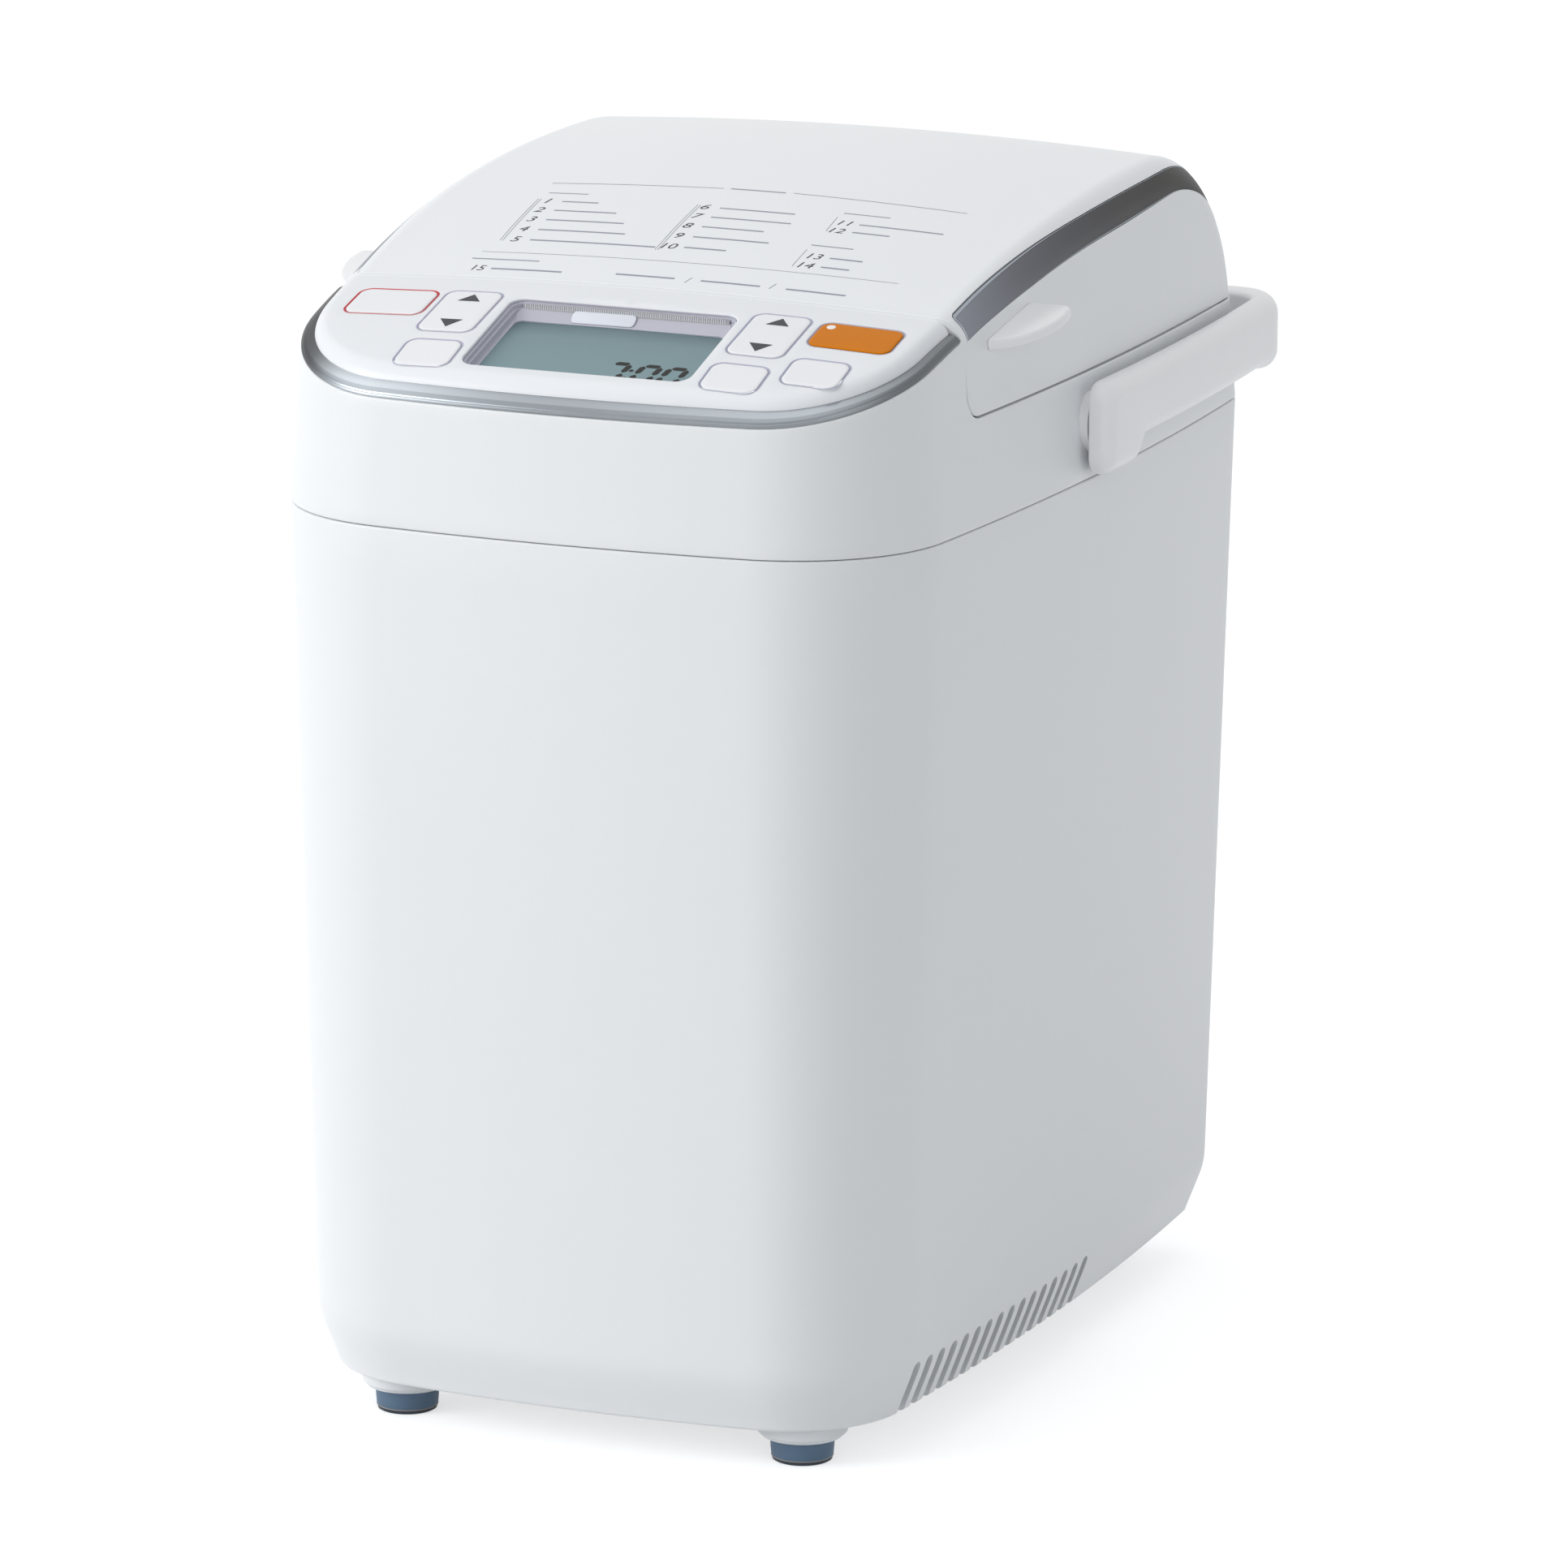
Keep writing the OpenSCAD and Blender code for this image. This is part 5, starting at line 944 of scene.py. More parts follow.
def display():
    wall = Build().rings([
        panel_ring(DISPLAY_AT, WINDOW_W - 2 * inset, WINDOW_D - 2 * inset, WINDOW_CORNER - inset, height)
        for inset, height in (
            (0.12, -0.5), (0.14, -1.1), (0.75, -1.3), (0.85, -2.4), (1.5, -2.6), (1.6, -4.2), (1.7, -4.6)
        )
    ])
    wall.piece("display_frame_wall", "case", BEZEL, "bezel", "display_bezel", 25)
    # Printed frame round the liquid crystal, with the display's opening in it
    hole, foot = (panel_ring(DISPLAY_AT, SCREEN_W, SCREEN_D, 2.2, h, 8, SCREEN_SHIFT) for h in (-4.5, -4.95))
    outside = [on_panel(DISPLAY_AT, p, q, frame_depth(q)) for p, q in rounded_rect(FRAME_W, FRAME_D, 3, 8)]
    frame_print = Build().rings([outside, hole]).rings([hole, foot])
    frame_print.piece("display_print_frame", "case", BEZEL, "bezel", sharp=25)
    xs, ys = steps(-34.6, 34.6, 24), steps(-19.6, 19.2, 12)
    screen = Build().grid([[on_panel(DISPLAY_AT, x, y, -4.9) for x in xs] for y in ys])
    screen.piece("display_screen", "case", LCD, "lcd_glass", "display_glass", 25)
    # Pale plate between the screen and the ribbed wall
    rows = []
    for inset, height in ((0, 0), (0.05, 0.2), (0.25, 0.3)):
        outline = rounded_rect(PLATE_W - 2 * inset, PLATE_D - 2 * inset, 1.3 - inset, 5)
        spots = [(p + PLATE_AT[0], q + PLATE_AT[1]) for p, q in outline]
        rows.append([on_panel(DISPLAY_AT, p, q, frame_depth(q) + height) for p, q in spots])
    Build().rings(rows).fan(rows[-1]).piece("display_label_plate", "case", BEZEL_LIGHT, "bezel")


def display_ribs():
    """Finely ribbed clear wall along the window's rear edge."""
    across, back, out = panel_frame(*DISPLAY_AT)
    low, high = (
        [
            (across * a + back * (c + 0.25 * (h + 1.3)) + out * h) / 1000
            for a, c in ((-RIB_W / 2, 0.0), (-RIB_W / 4, -RIB_T), (RIB_W / 4, -RIB_T), (RIB_W / 2, 0.0))
        ]
        for h in (0.5, 2.1)
    )
    start = metres(on_panel(DISPLAY_AT, -RIB_HALF, WINDOW_D / 2 - 2.2, -3.3))
    count = int(2 * RIB_HALF / RIB_PITCH)
    data = bpy.data.meshes.new("rib")
    faces = [(i, i + 1, 5 + i, 4 + i) for i in range(3)] + [(3, 2, 1, 0), (4, 5, 6, 7)]
    data.from_pydata(low + high, [], faces)
    ribs = row_of(data, "display_ribs", count, across * RIB_PITCH / 1000, start, RIB_CLEAR)
    finish(ribs, "case", sharp=20)
    # Mid grey sheet of painted shade behind the ribs
    ground = Build().grid([
        [on_panel(DISPLAY_AT, x, WINDOW_D / 2 - 2.1 + back, height) for x in steps(-33.2, 33.2, 20)]
        for back, height in ((-0.12, -2.9), (0.85, -1.15))
    ])
    ground.piece("display_rib_ground", "case", RIB_DARK, "bezel", sharp=30)


# Bars of the figures as start and end, in parts of the width and of half the height
BARS = {
    "a": (0, 2, 1, 2), "b": (1, 2, 1, 1), "c": (1, 1, 1, 0),
    "d": (0, 0, 1, 0), "e": (0, 1, 0, 0), "f": (0, 2, 0, 1),
}
BAR_T, BAR_GAP, FIGURE_H, FIGURE_W, SLANT = 1.9, 0.28, 10.4, 5.4, 0.16
FIGURE_Y, INK_HEIGHT = -17.2, -4.86


def display_time():
    """A plain time, seven o'clock, in the slanting bars of a liquid crystal."""
    b = Build()
    for left, bars in ((5.2, "abc"), (15.0, "abcdef"), (23.4, "abcdef")):
        for name in bars:
            x0, y0, x1, y1 = BARS[name]
            start = Vector((x0 * FIGURE_W, y0 * FIGURE_H / 2))
            end = Vector((x1 * FIGURE_W, y1 * FIGURE_H / 2))
            u = (end - start).normalized()
            half, tip = Vector((-u.y, u.x)) * BAR_T / 2, u * BAR_T * 0.45
            start, end = start + BAR_GAP * u, end - BAR_GAP * u
            shape = (start, start + tip + half, end - tip + half, end, end - tip - half, start + tip - half)
            b.fan([on_panel(DISPLAY_AT, left + p.x + p.y * SLANT, FIGURE_Y + p.y, INK_HEIGHT) for p in shape])
    for y in (2.6, 7.0):
        dot = rounded_rect(1.3, 1.3, 0.3, 3)
        b.fan([on_panel(DISPLAY_AT, 12.6 + p + y * SLANT, FIGURE_Y + y + q, INK_HEIGHT) for p, q in dot])
    b.piece("display_time", "case", LCD_INK, "dark_plastic", sharp=60, merge=False)


display()
display_ribs()
display_time()


# ---------------------------------------------------------------- lid
# The lid's middle line: a curve from the panel up to the top, and one from there down to the rear seam
LID_FRONT_Y = PANEL_REAR_Y + 0.1
LID_REAR_Y = BODY_D - upper_in(LID_SEAM_Z)
LID_FRONT_Z = panel_z(0, PANEL_REAR_Y)
LID_RISE = (BARREL_Y - PANEL_REAR_Y) / (LID_FRONT_Z - BARREL_Z) + 0.1
LEAD = 50
FORE = [Vector(p) for p in (
    (LID_FRONT_Y, LID_FRONT_Z), (LID_FRONT_Y + LEAD, LID_FRONT_Z + LEAD * LID_RISE),
    (LID_TOP_Y - 60, LID_TOP_Z), (LID_TOP_Y, LID_TOP_Z),
)]
AFT = [Vector(p) for p in (
    (LID_TOP_Y, LID_TOP_Z), (LID_TOP_Y + 42, LID_TOP_Z), (LID_REAR_Y, LID_Z + 26), (LID_REAR_Y, LID_Z),
)]
# A station is the curve (0 fore, 1 aft) and the place along it
STATIONS = [(0, t) for t in steps(0, 1, 44)] + [(1, t) for t in steps(0, 1, 40)[1:]]
FRONT = STATIONS[0]
# The strip's start on the fore curve, its corner radius, its width in front, and the upright cut's end
STRIP_START, STRIP_CORNER, STRIP_MM, FRONT_CUT = 0.017, 2.4, 11, 0.2
STRIP_STATIONS = [(0, 0.036)] + STATIONS[2:]
FORE_SPEED = 3 * LEAD * sqrt(1 + LID_RISE**2)
FRONT_R = 0.55
# Angles on the lid's rounded side where the strip begins and ends, from the front (0) over the top (1)
UPPER_EDGE = ((0, 23.5), (0.13, 23.5), (0.24, 28), (0.385, 34), (0.5, 41), (0.645, 47.5), (0.85, 51),
              (1, 49.5), (1.2, 43), (1.4, 29), (1.6, 21), (2, 16))
LOWER_EDGE = ((0, 78), (0.12, 86), (0.22, 90), (1.18, 90), (1.3, 82), (1.45, 69), (1.52, 62),
              (1.7, 50), (2, 44))
# How far the strip's lower edge lies down the flat side, in millimetres
FLAT_BELOW = ((0, 0), (0.15, 0), (0.36, 1.4), (0.5, 2), (0.65, 2.8), (0.8, 3.2), (0.95, 2.2),
              (1.18, 0), (2, 0))


def along(table, where):
    """Value from a table of (place, value) pairs, softened where its slope changes."""
    total = 0
    for shift in (-0.08, -0.04, 0, 0.04, 0.08):
        at = min(max(where + shift, 0), 2)
        for (a, va), (b, vb) in zip(table, table[1:]):
            if a <= at <= b:
                total += mix(va, vb, (at - a) / (b - a))
                break
    return total / 5


def bezier(p, t):
    return (1 - t) ** 3 * p[0] + 3 * (1 - t) ** 2 * t * p[1] + 3 * (1 - t) * t * t * p[2] + t**3 * p[3]


def bezier_way(p, t):
    v = (1 - t) ** 2 * (p[1] - p[0]) + 2 * (1 - t) * t * (p[2] - p[1]) + t * t * (p[3] - p[2])
    return v.normalized()


def lid_skin(station, turn, below, sunk, inner):
    """Point on the lid: turn is the angle on its rounded side; inner scales the flat part's width."""
    part, t = station
    if part == 0:
        curve, edge, crown = FORE, LID_EDGE_R, mix(crown_drop(90), LID_CROWN, t)
    else:
        curve, edge, crown = AFT, mix(LID_EDGE_R, LID_REAR_R, t), mix(LID_CROWN, 0.4, t)
    c, v = bezier(curve, t), bezier_way(curve, t)
    side = side_x(c.x) - upper_in(c.y)
    flat = side - edge
    a = radians(turn)
    x = flat * inner if inner < 1 else flat + (edge - sunk) * sin(a)
    depth = crown * (min(x, flat) / flat) ** 2 + sunk + (edge - sunk) * (1 - cos(a)) + below
    p = c + depth * Vector((v.y, -v.x))
    # The front end is cut upright
    if part == 0 and t < FRONT_CUT:
        p -= v * (depth * v.y / v.x * (1 - t / FRONT_CUT) ** 2)
    shift = side_x(p.x) - upper_in(p.y) - side if turn > 0 else 0
    return Vector((x + shift, p.x, p.y))


def lid_point(station, u, sunk=0.0):
    """Point on the lid's skin: u 0 in the middle, 1 and 2 at the strip's edges, 3 at the side wall."""
    start, end, below = (along(table, sum(station)) for table in (UPPER_EDGE, LOWER_EDGE, FLAT_BELOW))
    if u <= 1:
        turn = start * max(0, (u - 0.6) / 0.4)
    else:
        turn = mix(start, end, min(1, (u - 1) / 0.7)) if u <= 2 else mix(end, 90, u - 2)
    return lid_skin(station, turn, below * min(1, max(0, u - 1.7) / 0.3), sunk, min(1, u / 0.6))


def same(p):
    return p


def mirrored(p):
    return Vector((-p[0], p[1], p[2]))


SIDES = (("right", same), ("left", mirrored))
COVER_U = [0, 0.08, 0.16, 0.24, 0.32, 0.4, 0.48, 0.55, 0.6] + steps(0.6, 1.0, 12)[1:]


def lid_row(station, sunk, us=COVER_U, back=0.0, up=0.0):
    """A row across the lid, or along us on its right side, moved back and up."""
    right = [lid_point(station, u, sunk) + Vector((0, back, up)) for u in us]
    return [mirrored(p) for p in right[:0:-1]] + right if us is COVER_U else right


def lid_front_rows(us):
    """The rounded rim that faces the panel, from the inside out."""
    return [lid_row(FRONT, LID_WALL, us, 0.1)] + [lid_row(FRONT, j, us, i) for i, j in quarter(5, FRONT_R)]


def strip_front(u, grow=0.0):
    """Where the strip's rounded front end lies on the fore curve, grow millimetres further back."""
    reach = max(0.0, STRIP_CORNER - (u - 1) * STRIP_MM)
    return STRIP_START + (STRIP_CORNER - sqrt(STRIP_CORNER**2 - reach**2) + grow) / FORE_SPEED


def lid_cover():
    """The white shell, with turned edges beside the strips and a rim in front of each."""
    rear = STATIONS[-1]
    rows = lid_front_rows(COVER_U) + [lid_row(s, 0) for s in STATIONS[1:-1]]
    rows += [lid_row(rear, 0, up=0.5), lid_row(rear, 0, back=-0.12, up=0.12), lid_row(rear, 0.5)]
    rows += [lid_row(s, LID_WALL) for s in STATIONS[:0:-1]]
    b = Build().grid(rows)
    us = steps(1.0, 2.0, 24)
    rim = lid_front_rows(us)
    turned_in = [(k, 0) for k in (0.35, 0.6, 0.8, 0.94)]
    turned_in += [(1 - j, i) for i, j in quarter(3, 0.2, 0.06)] + [(1, LID_WALL)]
    rim += [[lid_point((0, k * strip_front(u)), u, sunk) for u in us] for k, sunk in turned_in]
    for _, flip in SIDES:
        path = [(0, strip_front(1))] + STRIP_STATIONS
        b.grid([[flip(lid_point(s, 1.0, sunk)) for s in path] for sunk in (0, LID_WALL)])
        b.grid([[flip(p) for p in row] for row in rim])
    cutters = [steam_cutter(), hinge_cutter()]
    return b.piece("lid_cover_shell", "lid", LID_ABS, "lid_white", "lid_cover", cutters=cutters)


GRILLE_COUNT, GRILLE_PITCH, GRILLE_W, GRILLE_L, GRILLE_R = 9, 6.3, 3.4, 18.0, 1.2
GRILLE_Y, GRILLE_TILT = LID_TOP_Y + 23.4, 23.0
HINGE_X, HINGE_ROOM_Y, HINGE_ROOM = 62, (292.3, 330), 1.0


def steam_cutter():
    tilt = Matrix.Rotation(radians(-GRILLE_TILT), 3, "X")
    outline = rounded_rect(GRILLE_W, GRILLE_L, GRILLE_R, 5)
    data = prism("steam_slot", *([tilt @ Vector((x, y, z)) / 1000 for x, y in outline] for z in (-10, 10)))
    start = metres((-(GRILLE_COUNT - 1) / 2 * GRILLE_PITCH, GRILLE_Y, LID_TOP_Z - 5))
    return row_of(data, "steam_slots", GRILLE_COUNT, (GRILLE_PITCH / 1000, 0, 0), start, LID_ABS)


def hinge_cutter():
    """Room in the lid's rear for both hinges."""
    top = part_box("hinge_brackets")[1] * 1000
    half = top.x - HINGE_X + HINGE_ROOM
    near, far = HINGE_ROOM_Y
    b = Build()
    for x in (-HINGE_X, HINGE_X):
        b.add(
            [
                (x + sx * half, y, z) for z in (LID_Z - 2, top.z + HINGE_ROOM)
                for sx, y in ((-1, near), (1, near), (1, far), (-1, far))
            ],
            ((0, 3, 2, 1), (4, 5, 6, 7), (0, 1, 5, 4), (1, 2, 6, 5), (2, 3, 7, 6), (3, 0, 4, 7)),
        )
    return b.mesh("hinge_room", ABS)


def lid_strip(side, flip):
    """Dark strip in a recess, with a bright bevel along its edges and round its front end."""
    # The upper bevel's share of the strip's width: 0.13 in front, 0.05 from half way
    bevel = [mix(0.13, 0.05, min(1, t / 0.5)) for t in [0.0] + [sum(s) for s in STRIP_STATIONS]]

    def point(u, sunk, grow, station=None):
        """A point of the strip; without a station it lies on the rounded front end."""
        return flip(lid_point(station or (0, strip_front(u, grow)), u, sunk))

    def line(u, sunk, grow):
        return [point(u, sunk, grow, s) for s in [None] + STRIP_STATIONS]

    def row(low, high, k, sunk, grow):
        """Points a share k of the way from low to high, each a function of the bevel's width."""
        return [
            point(mix(low(e), high(e), k), sunk, grow, s)
            for s, e in zip([None] + STRIP_STATIONS, bevel)
        ]

    face = [row(lambda e: 1 + e, lambda e: 1.945, k, 0.12, 1.0) for k in steps(0, 1, 16)]
    b = Build().grid([line(1.02, 1.6, 0.4)] + face + [line(1.95, 1.6, 0.4)])
    b.grid([[r[0] for r in face], [point(u, 1.6, 0.4) for u in steps(1.02, 1.95, 16)]])
    b.grid([line(u, LID_WALL, 0.3) for u in steps(1.01, 1.99, 12)])
    b.piece(f"lid_strip_{side}", "lid", STRIP_GREY, "dark_strip", f"lid_trim_{side}")
    # Bevels: a broad one above, fine ones below and at the front
    b = Build().grid([
        row(lambda e: 1.03, lambda e: 1 + e, k, sunk, mix(0.5, 1.0, k))
        for k, sunk in ((0, 1.2), (0, 0.25), (0.12, 0.1), (0.9, 0.02), (1.0, 0.16), (1.0, 0.4))
    ])
    b.grid([
        line(u, sunk, 0.5)
        for u, sunk in ((1.94, 0.4), (1.943, 0.08), (1.965, 0.04), (1.972, 0.3), (1.972, 1.2))
    ])
    b.grid([
        [point(u, sunk, grow) for u in [1.03] + steps(1.06, 1.965, 20)]
        for grow, sunk in ((0.5, 1.2), (0.5, 0.2), (0.62, 0.05), (0.9, 0.05), (1.05, 0.2), (1.05, 0.5))
    ])
    b.piece(f"lid_strip_bevel_{side}", "lid", STRIP_EDGE, "silver_trim", sharp=50)


SIDE_CORNER_R, SIDE_FRONT_Y = 8.0, PANEL_REAR_Y + 0.62


def side_base(t):
    """The side wall's lower edge, from its rounded front corner along the seam."""
    cy, cz = SIDE_FRONT_Y + SIDE_CORNER_R, LID_Z + SIDE_CORNER_R
    if t <= 0.2:
        a = pi / 2 * t / 0.2
        return cy - SIDE_CORNER_R * cos(a), cz - SIDE_CORNER_R * sin(a)
    return mix(cy, LID_REAR_Y - LID_REAR_R - 8, (t - 0.2) / 0.8), LID_Z


def side_point(top, base, k, sunk=0.0):
    """A point a share k of the way down the leaning side."""
    y, z = mix(top.y, base[0], k), mix(top.z, base[1], k)
    return Vector((side_x(y) - upper_in(z) - sunk, y, z))


def lid_side(side, flip):
    """Flat leaning wall between the strip and the seam, rounded where it meets the seam."""
    cols = []
    for i, s in enumerate(STATIONS):
        top, base = lid_point(s, 3), side_base(i / (len(STATIONS) - 1))
        col = [lid_point(s, u, sunk) for u, sunk in ((2.0, LID_WALL), (2.0, 0.4), (2.03, 0.05))]
        col += [lid_point(s, u) for u in steps(2.08, 3, 9)]
        col += [side_point(top, base, k) for k in steps(0.03, 0.97, 8)]
        col += [side_point(top, base, k, sunk) for k, sunk in ((0.99, 0.08), (1, 0.5), (1, LID_WALL))]
        cols.append([flip(p) for p in col])
    wall = Build().grid(cols).grid([[c[0] for c in cols], [c[-1] for c in cols]]).fan(cols[0])
    wall.piece(f"lid_side_wall_{side}", "lid", ABS, "white_abs", f"lid_side_{side}")


TAB_CORNER_R, TAB_SOFT = 3.2, 1.2


def tab_outline(inset):
    """Outline of a finger tab in its own plane, from the rear root round to the front root."""
    back, reach = TAB_LEN / 2, TAB_OUT + 4
    nose = reach * (2 * TAB_LEN - 14) / (2 * reach)
    edge_x = -3 + reach * sqrt(1 - (5 / nose) ** 2) - 0.2
    r = TAB_CORNER_R
    pts = [(-2.5, back - inset), (6.0, back - inset)]
    pts += [
        (edge_x - r + (r - inset) * cos(a), back - r + (r - inset) * sin(a)) for a in steps(pi / 2, 0, 6)
    ]
    for a in steps(0.0, -pi / 2, 26)[1:]:
        x, y = -3 + (reach - inset) * cos(a), (back - 6) + (nose - inset) * sin(a)
        if y < back - r - 1 and x > -2.2:
            pts.append((x, y))
    return pts + [(-2.5, (back - 6) - (nose - inset))]


def lid_tab(side, flip):
    """Finger tab: flat, with a round nose towards the front and a soft edge all round."""
    root = side_x(TAB_Y) - upper_in(TAB_Z)
    tilt = Matrix.Rotation(radians(TAB_SLOPE), 3, "X")

    def row(inset, z):
        out = []
        for x, y in tab_outline(inset):
            p = tilt @ Vector((x, y, z))
            p = Vector((root - 1 + p.x, TAB_Y + p.y, TAB_Z + p.z))
            p.x = max(p.x, side_x(p.y) - upper_in(p.z) + 0.12)
            out.append(flip(p))
        return out

    edge = [(i, TAB_T / 2 - j) for i, j in quarter(5, TAB_SOFT)]
    rows = [row(inset, z) for inset, z in edge[::-1]] + [row(inset, -z) for inset, z in edge]
    b = Build().grid(rows).fan(rows[0]).fan(rows[-1])
    b.fan([r[0] for r in rows] + [r[-1] for r in rows[::-1]])
    node = "lid_tabs" if side == "right" else None
    b.piece(f"lid_tab_{side}", "lid", HANDLE_ABS, "white_abs", node, 45)


RIDGE_SIDE_X, RIDGE_RAKE = 90, 0.35


def front_ridge():
    """Narrow rim of the case along the lid's front edge, which closes the panel and the trim."""
    edge_us = steps(1.0, 2.0, 14)[1:]
    us = COVER_U + edge_us
    path = [lid_point(FRONT, u) for u in us]
    path += [side_point(lid_point(FRONT, 2), side_base(0), k) for k in steps(0, 1, 8)[1:]]
    bend = 0.3 * RIDGE_EDGE  # inset of a rounded edge's middle point
    flat = COVER_U.index(0.6)  # the last point before the lid's side begins to turn down
    cols = []
    for i, p in enumerate(path):
        depth = max(0, panel_z(p.x if i <= flat else RIDGE_SIDE_X, p.y) - p.z)
        slope, front_y = LID_RISE, PANEL_REAR_Y - RIDGE_W + RIDGE_RAKE * depth
        if depth >= TRIM_DROP:
            slope, front_y = 0.0, PANEL_REAR_Y - 0.05
        inward = Vector((-1, 0, 0))
        if i < len(us) and us[i] <= 1.7:
            inward = lid_point(FRONT, us[i], 1) - p
            if i >= len(COVER_U):
                inward.normalize()
        side, rear_y = side_x(p.y) - upper_in(p.z), p.y - RIDGE_GAP
        col = []
        for y, sunk in (
            (rear_y, 3.0), (rear_y, RIDGE_EDGE), (rear_y - bend, bend), (rear_y - RIDGE_EDGE, 0),
            (front_y + RIDGE_EDGE, 0), (front_y + bend, bend), (front_y, RIDGE_EDGE), (front_y, 3.0),
        ):
            z = p.z + (y - p.y) * slope
            x = p.x + min(1, i / flat) * (side_x(y) - upper_in(z) - side)
            col.append(Vector((x, y, z)) + inward * sunk)
        cols.append(col)
    cols = [[mirrored(q) for q in col] for col in cols[:0:-1]] + cols
    rows = [list(row) for row in zip(*cols)]
    Build().grid(rows + rows[:1]).piece("case_front_ridge", "case", ABS, "white_abs")


COVER = lid_cover()
for parts in ((lid_strip, lid_side), (lid_tab,)):
    for side_and_flip in SIDES:
        for part in parts:
            part(*side_and_flip)
front_ridge()


# ---------------------------------------------------------------- carry handle
NOSE, INNER_R, OUTER_R, BORE_CLEAR = 7.5, 1.8, 6, 0.06


def arm_x(y):
    return side_x(y) - PIVOT_IN + HANDLE_GAP


def arm_station(y, bottom, shrink=0.0):
    """Inner and outer point of the arm's section, and its lowest and highest level."""
    inner = Vector((arm_x(y) + shrink * 0.2, y))
    outer = Vector((arm_x(y) + ARM_T - shrink * 0.42, y))
    return inner, outer, bottom + shrink, ARM_TOP_Z - shrink * 0.75


def handle_stations():
    """Sections from the right paddle's nose along its arm and round the grip to the left one."""
    start = PIVOT_Y - PADDLE_FRONT
    arm = start + PADDLE_LEN + PADDLE_SLANT
    out = [arm_station(start + i, PADDLE_BOTTOM_Z, j) for i, j in quarter(10, NOSE, 8)]
    out += [arm_station(start + y, PADDLE_BOTTOM_Z) for y in steps(NOSE, PADDLE_LEN, 5)[1:]]
    for t in steps(0, 1, 9)[1:]:
        bottom = mix(PADDLE_BOTTOM_Z, ARM_BOTTOM_Z, t * t * (3 - 2 * t))
        out.append(arm_station(start + PADDLE_LEN + PADDLE_SLANT * t, bottom))
    out += [arm_station(y, ARM_BOTTOM_Z) for y in steps(arm, ARM_END_Y, 12)[1:-1]]
    c = Vector((arm_x(ARM_END_Y) - ARM_CORNER_R, ARM_END_Y))
    for a in steps(0, pi / 2, 16):
        inner = c + ARM_CORNER_R * Vector((cos(a), sin(a)))
        outer = c + Vector(((ARM_CORNER_R + ARM_T) * cos(a), (ARM_CORNER_R + GRIP_T) * sin(a)))
        out.append((inner, outer, mix(ARM_BOTTOM_Z, GRIP_BOTTOM_Z, sin(a)), ARM_TOP_Z))
    return out + [(Vector((-a.x, a.y)), Vector((-b.x, b.y)), low, high) for a, b, low, high in out[::-1]]


def handle_section(inner, outer, low, high):
    """Rounded section between two points of the plan, finer on the inside."""
    t, h = (outer - inner).length, high - low
    across = (outer - inner) / t
    r_in = min(INNER_R, t * 0.3)
    r_out = min(t - r_in - 0.4, OUTER_R, h * 0.4)
    pts = []
    for x, z, a0, r in (
        (t - r_out, h - r_out, 0, r_out), (r_in, h - r_in, 90, r_in), (r_in, r_in, 180, r_in),
        (t - r_out, r_out, 270, r_out),
    ):
        for a in (radians(a0 + 90 * k / 7) for k in range(8)):
            q = inner + across * (x + r * cos(a))
            pts.append(Vector((q.x, q.y, low + z + r * sin(a))))
    return pts


def capped(b, rows):
    return b.rings(rows).fan(rows[0][::-1]).fan(rows[-1])


def carry_handle():
    bores = Build()
    x, r = arm_x(PIVOT_Y), PIVOT_R + BORE_CLEAR
    for side in (-1, 1):
        ends = (side * (x - 2), side * (x + 5.8))
        capped(bores, [[Vector((end, PIVOT_Y + p, PIVOT_Z + q)) for p, q in circle(r, 40)] for end in ends])
    moulding = capped(Build(), [handle_section(*station) for station in handle_stations()])
    cutters = [bores.mesh("handle_bores", HANDLE_ABS)]
    moulding.piece("carry_handle_moulding", "handle", HANDLE_ABS, "white_abs", "carry_handle", cutters=cutters)


# ---------------------------------------------------------------- feet
FOOT_PLACES = [(x, y) for x in (-65.0, 65.0) for y in (37.0, BODY_D - 37.0)]
# Name, material, node, sharp angle, closed end (1 top, -1 bottom), radii and heights of the profile
FOOT_PARTS = (
    ("foot_rubber", RUBBER, "rubber_feet", 35, 1, (
        (9.2, 1.25), (9.32, 1.6), (9.5, 3.5), (9.68, 6.0), (9.74, 6.5), (9.9, 6.8), (9.95, 7.2), (9.85, 7.45),
        (4.9, 7.45), (4.9, 15.0),
    )),
    ("foot_tread", RUBBER_DARK, None, 35, -1,
     ((7.6, 0.35), (7.9, 0.0), (8.5, 0.0), (9.0, 0.3), (9.12, 0.9), (9.2, 1.25))),
    ("foot_lines", FOOT_LINE, None, 60, 0, ((9.1, 1.2), (9.34, 1.26), (9.38, 1.4), (9.34, 1.54), (9.2, 1.6))),
)


def feet():
    for name, material, node, sharp, closed, profile in FOOT_PARTS:
        b = Build()
        for x, y in FOOT_PLACES:
            rows = [[Vector((x + p, y + q, z)) for p, q in circle(r, 64)] for r, z in profile]
            b.rings(rows)
            if closed:
                b.fan(rows[-1] if closed > 0 else rows[0][::-1])
        b.piece(name, "case", material, "slate_rubber", node, sharp)


# ---------------------------------------------------------------- print on the lid
PRINT_LIFT, RULE_W, THIN_W, FINE_W = 0.04, 0.85, 0.6, 0.22
CAP_SHARE, FIGURE_WIDEN = 0.72, 1.06  # a figure's height in its font size, and how much wider it is drawn
LID_TREE = BVHTree.FromPolygons(
    [v.co for v in COVER.data.vertices], [p.vertices for p in COVER.data.polygons]
)


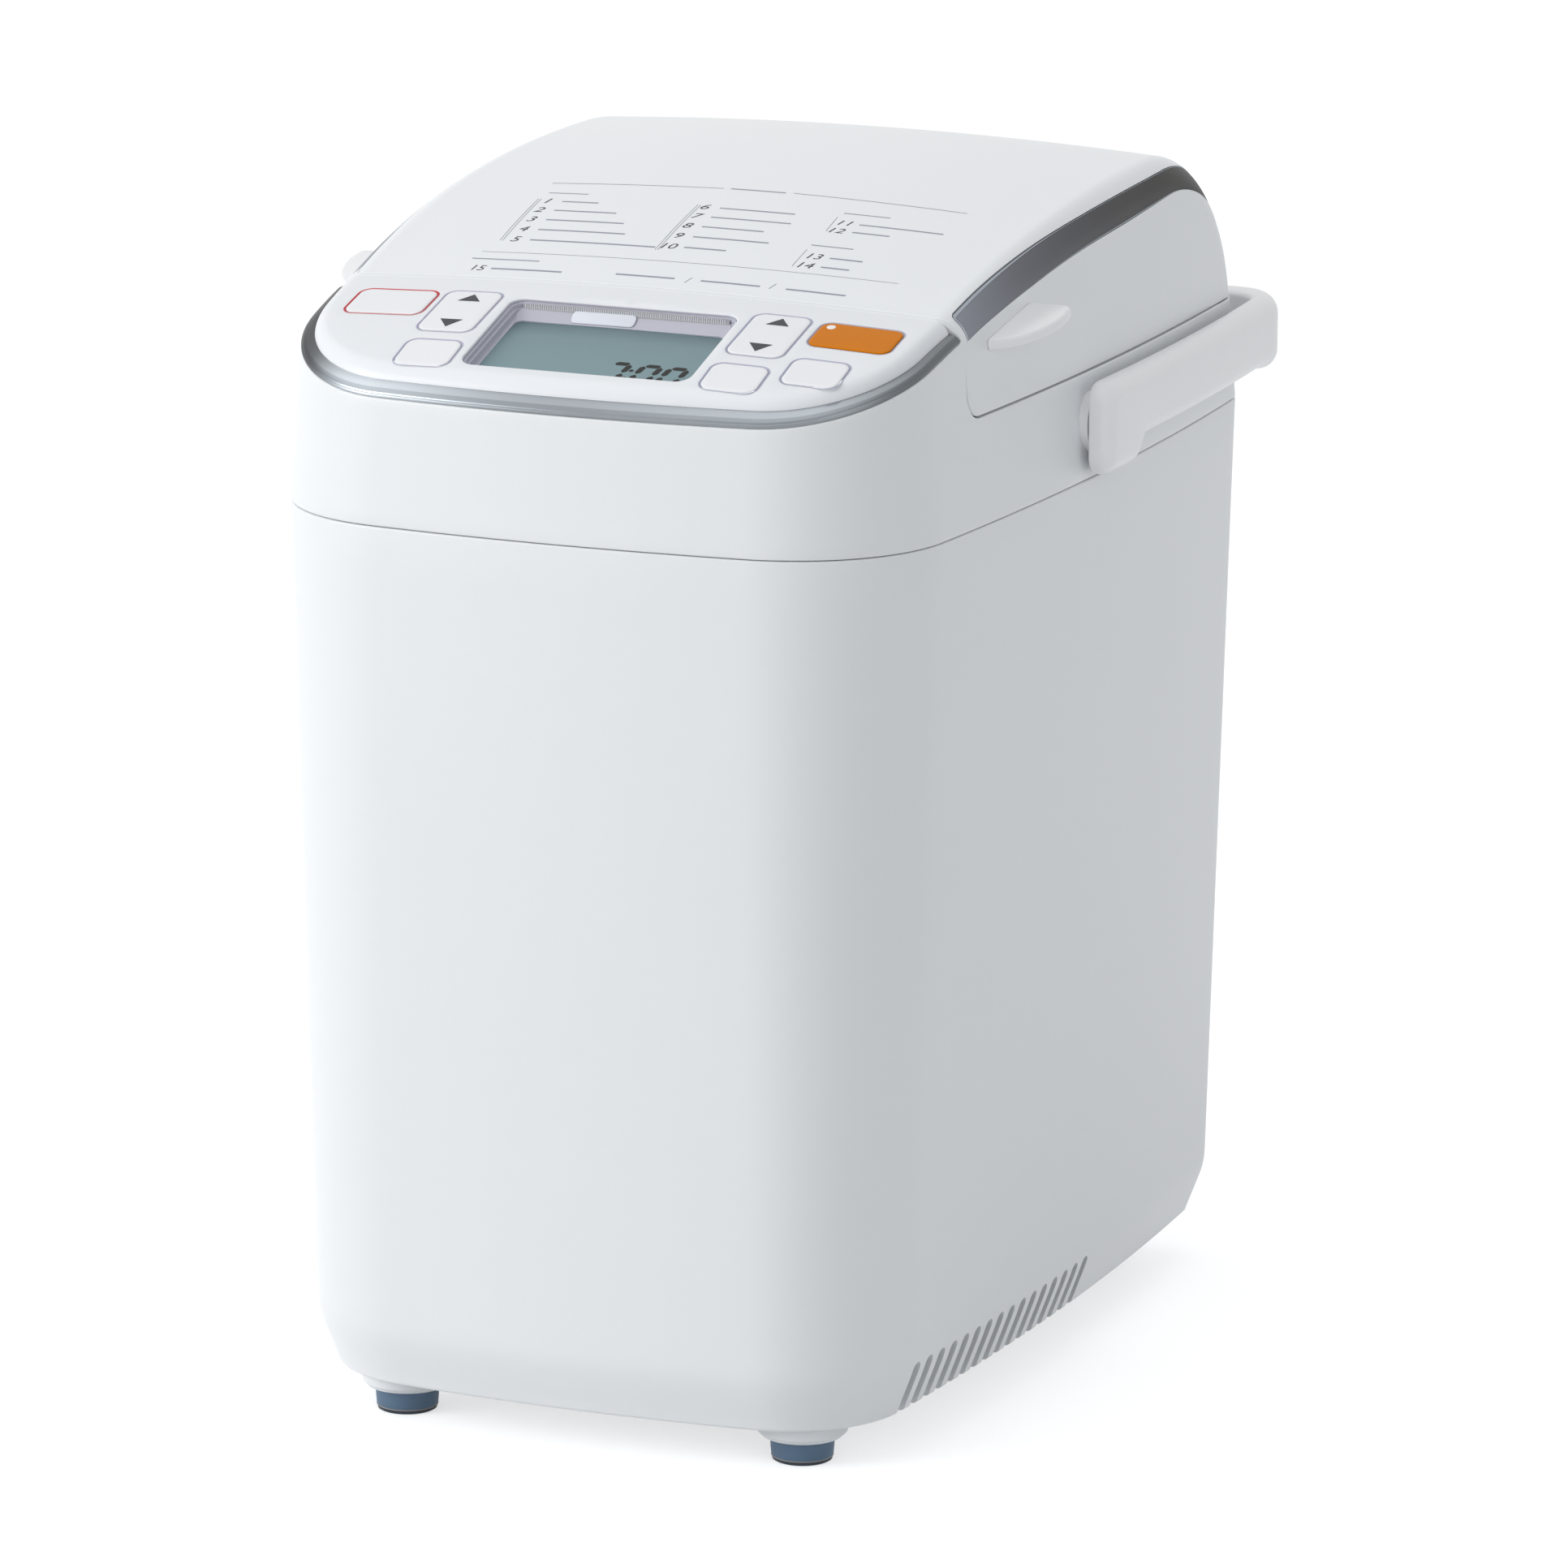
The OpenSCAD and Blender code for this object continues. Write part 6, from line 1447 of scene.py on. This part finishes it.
def on_lid(x, y):
    """The point of the print over x, y on the lid's skin."""
    hit, normal, _, _ = LID_TREE.ray_cast(metres((x, y, 400)), Vector((0, 0, -1)))
    p = hit * 1000 + (normal if normal.z > 0 else -normal) * PRINT_LIFT
    return Vector((p.x, p.y + OVERALL_D / 2, p.z))


def rule(b, start, end, width):
    """A thin rule from start to end, bent over the lid."""
    start, end = Vector(start), Vector(end)
    w = (end - start).normalized() * width / 2
    count = max(2, int((end - start).length / 3))
    b.grid([
        [on_lid(*(start.lerp(end, t) + s * Vector((-w.y, w.x)))) for t in steps(0, 1, count)] for s in (-1, 1)
    ])


def bar(b, x, y, length, width=RULE_W):
    rule(b, (x, y), (x + length, y), width)


def figures(b, text, x, y, cap):
    """Plain slanting figures centred at x, y, their height cap."""
    curve = bpy.data.curves.new("figures", "FONT")
    curve.body, curve.size, curve.resolution_u = text, cap / CAP_SHARE, 3
    obj = bpy.data.objects.new("figures", curve)
    data = bpy.data.meshes.new_from_object(obj)
    xs, ys = ([v.co[k] for v in data.vertices] for k in (0, 1))
    spots = [(p - (min(xs) + max(xs)) / 2, q - (min(ys) + max(ys)) / 2) for p, q in zip(xs, ys)]
    verts = [on_lid(x + p * FIGURE_WIDEN + q * SLANT, y + q) for p, q in spots]
    b.add(verts, [f.vertices for f in data.polygons])
    bpy.data.objects.remove(obj)
    bpy.data.curves.remove(curve)
    bpy.data.meshes.remove(data)


# Each block: where its first and last rows begin, the rows' lengths, and its first number
BLOCKS = (
    ((-57.9, 126.7), (-54.2, 95.0), (12.0, 20.5, 25.5, 28.5, 41.0), 1),
    ((-6.8, 128.8), (-4.4, 96.4), (24.5, 26.0, 20.0, 24.5, 13.5), 6),
    ((40.1, 125.4), (40.5, 118.8), (27.0, 12.0), 11),
    ((41.9, 98.2), (41.8, 91.6), (10.5, 9.0), 13),
)
# x, y and length of the other bars, and start, end and width of the rules
BARS_WIDE = (
    (-53.0, 74.3, 23.0), (-12.8, 75.3, 19.0), (14.7, 75.3, 19.0), (42.0, 75.3, 19.0), (-6.5, 147.0, 18.0),
)
BARS_THIN = ((-61.0, 134.0, 13.0), (36.2, 133.5, 15.0), (37.2, 106.0, 13.5), (-62.0, 80.4, 22.0))
RULES = (
    ((10.3, 73.3), (11.3, 76.7), 0.3), ((36.9, 74.4), (37.9, 77.8), 0.3),
    ((-64.2, 143.5), (-8.7, 146.8), 0.42), ((14.0, 147.3), (71.3, 145.3), 0.42),
    ((-61.9, 128.2), (-58.9, 93.5), FINE_W), ((-10.0, 130.0), (-7.9, 93.0), FINE_W),
    ((-61.0, 128.2), (-58.0, 93.5), FINE_W), ((-9.1, 130.0), (-7.0, 93.0), FINE_W),
    ((35.7, 129.7), (37.1, 117.5), FINE_W), ((37.3, 102.4), (37.7, 90.2), FINE_W),
    ((-61.0, 85.2), (73.1, 86.6), 0.24),
)


def lid_print():
    """Numbered rows of plain bars, with thin rules between the blocks."""
    ink, grey = Build(), Build()
    for first, last, lengths, number in BLOCKS:
        for i, length in enumerate(lengths):
            x, y = (mix(a, z, i / (len(lengths) - 1)) for a, z in zip(first, last))
            figures(ink, str(number + i), x, y, mix(4.4, 3.6, (130 - y) / 60) if number < 11 else 3.9)
            bar(grey, x + 4.6, y - 0.2, length)
    figures(ink, "15", -57.0, 74.4, 3.4)
    for spot in BARS_WIDE[:4]:
        bar(grey, *spot)
    for line in RULES[:4]:
        rule(grey, *line)
    bar(grey, *BARS_WIDE[4])
    for line in RULES[4:]:
        rule(grey, *line)
    for spot in BARS_THIN:
        bar(grey, *spot, THIN_W)
    ink.piece("lid_print_figures", "lid", INK, "dark_plastic", sharp=60, merge=False)
    grey.piece("lid_print_rules", "lid", INK_GREY, "dark_plastic", sharp=60, merge=False)


carry_handle()
feet()
lid_print()
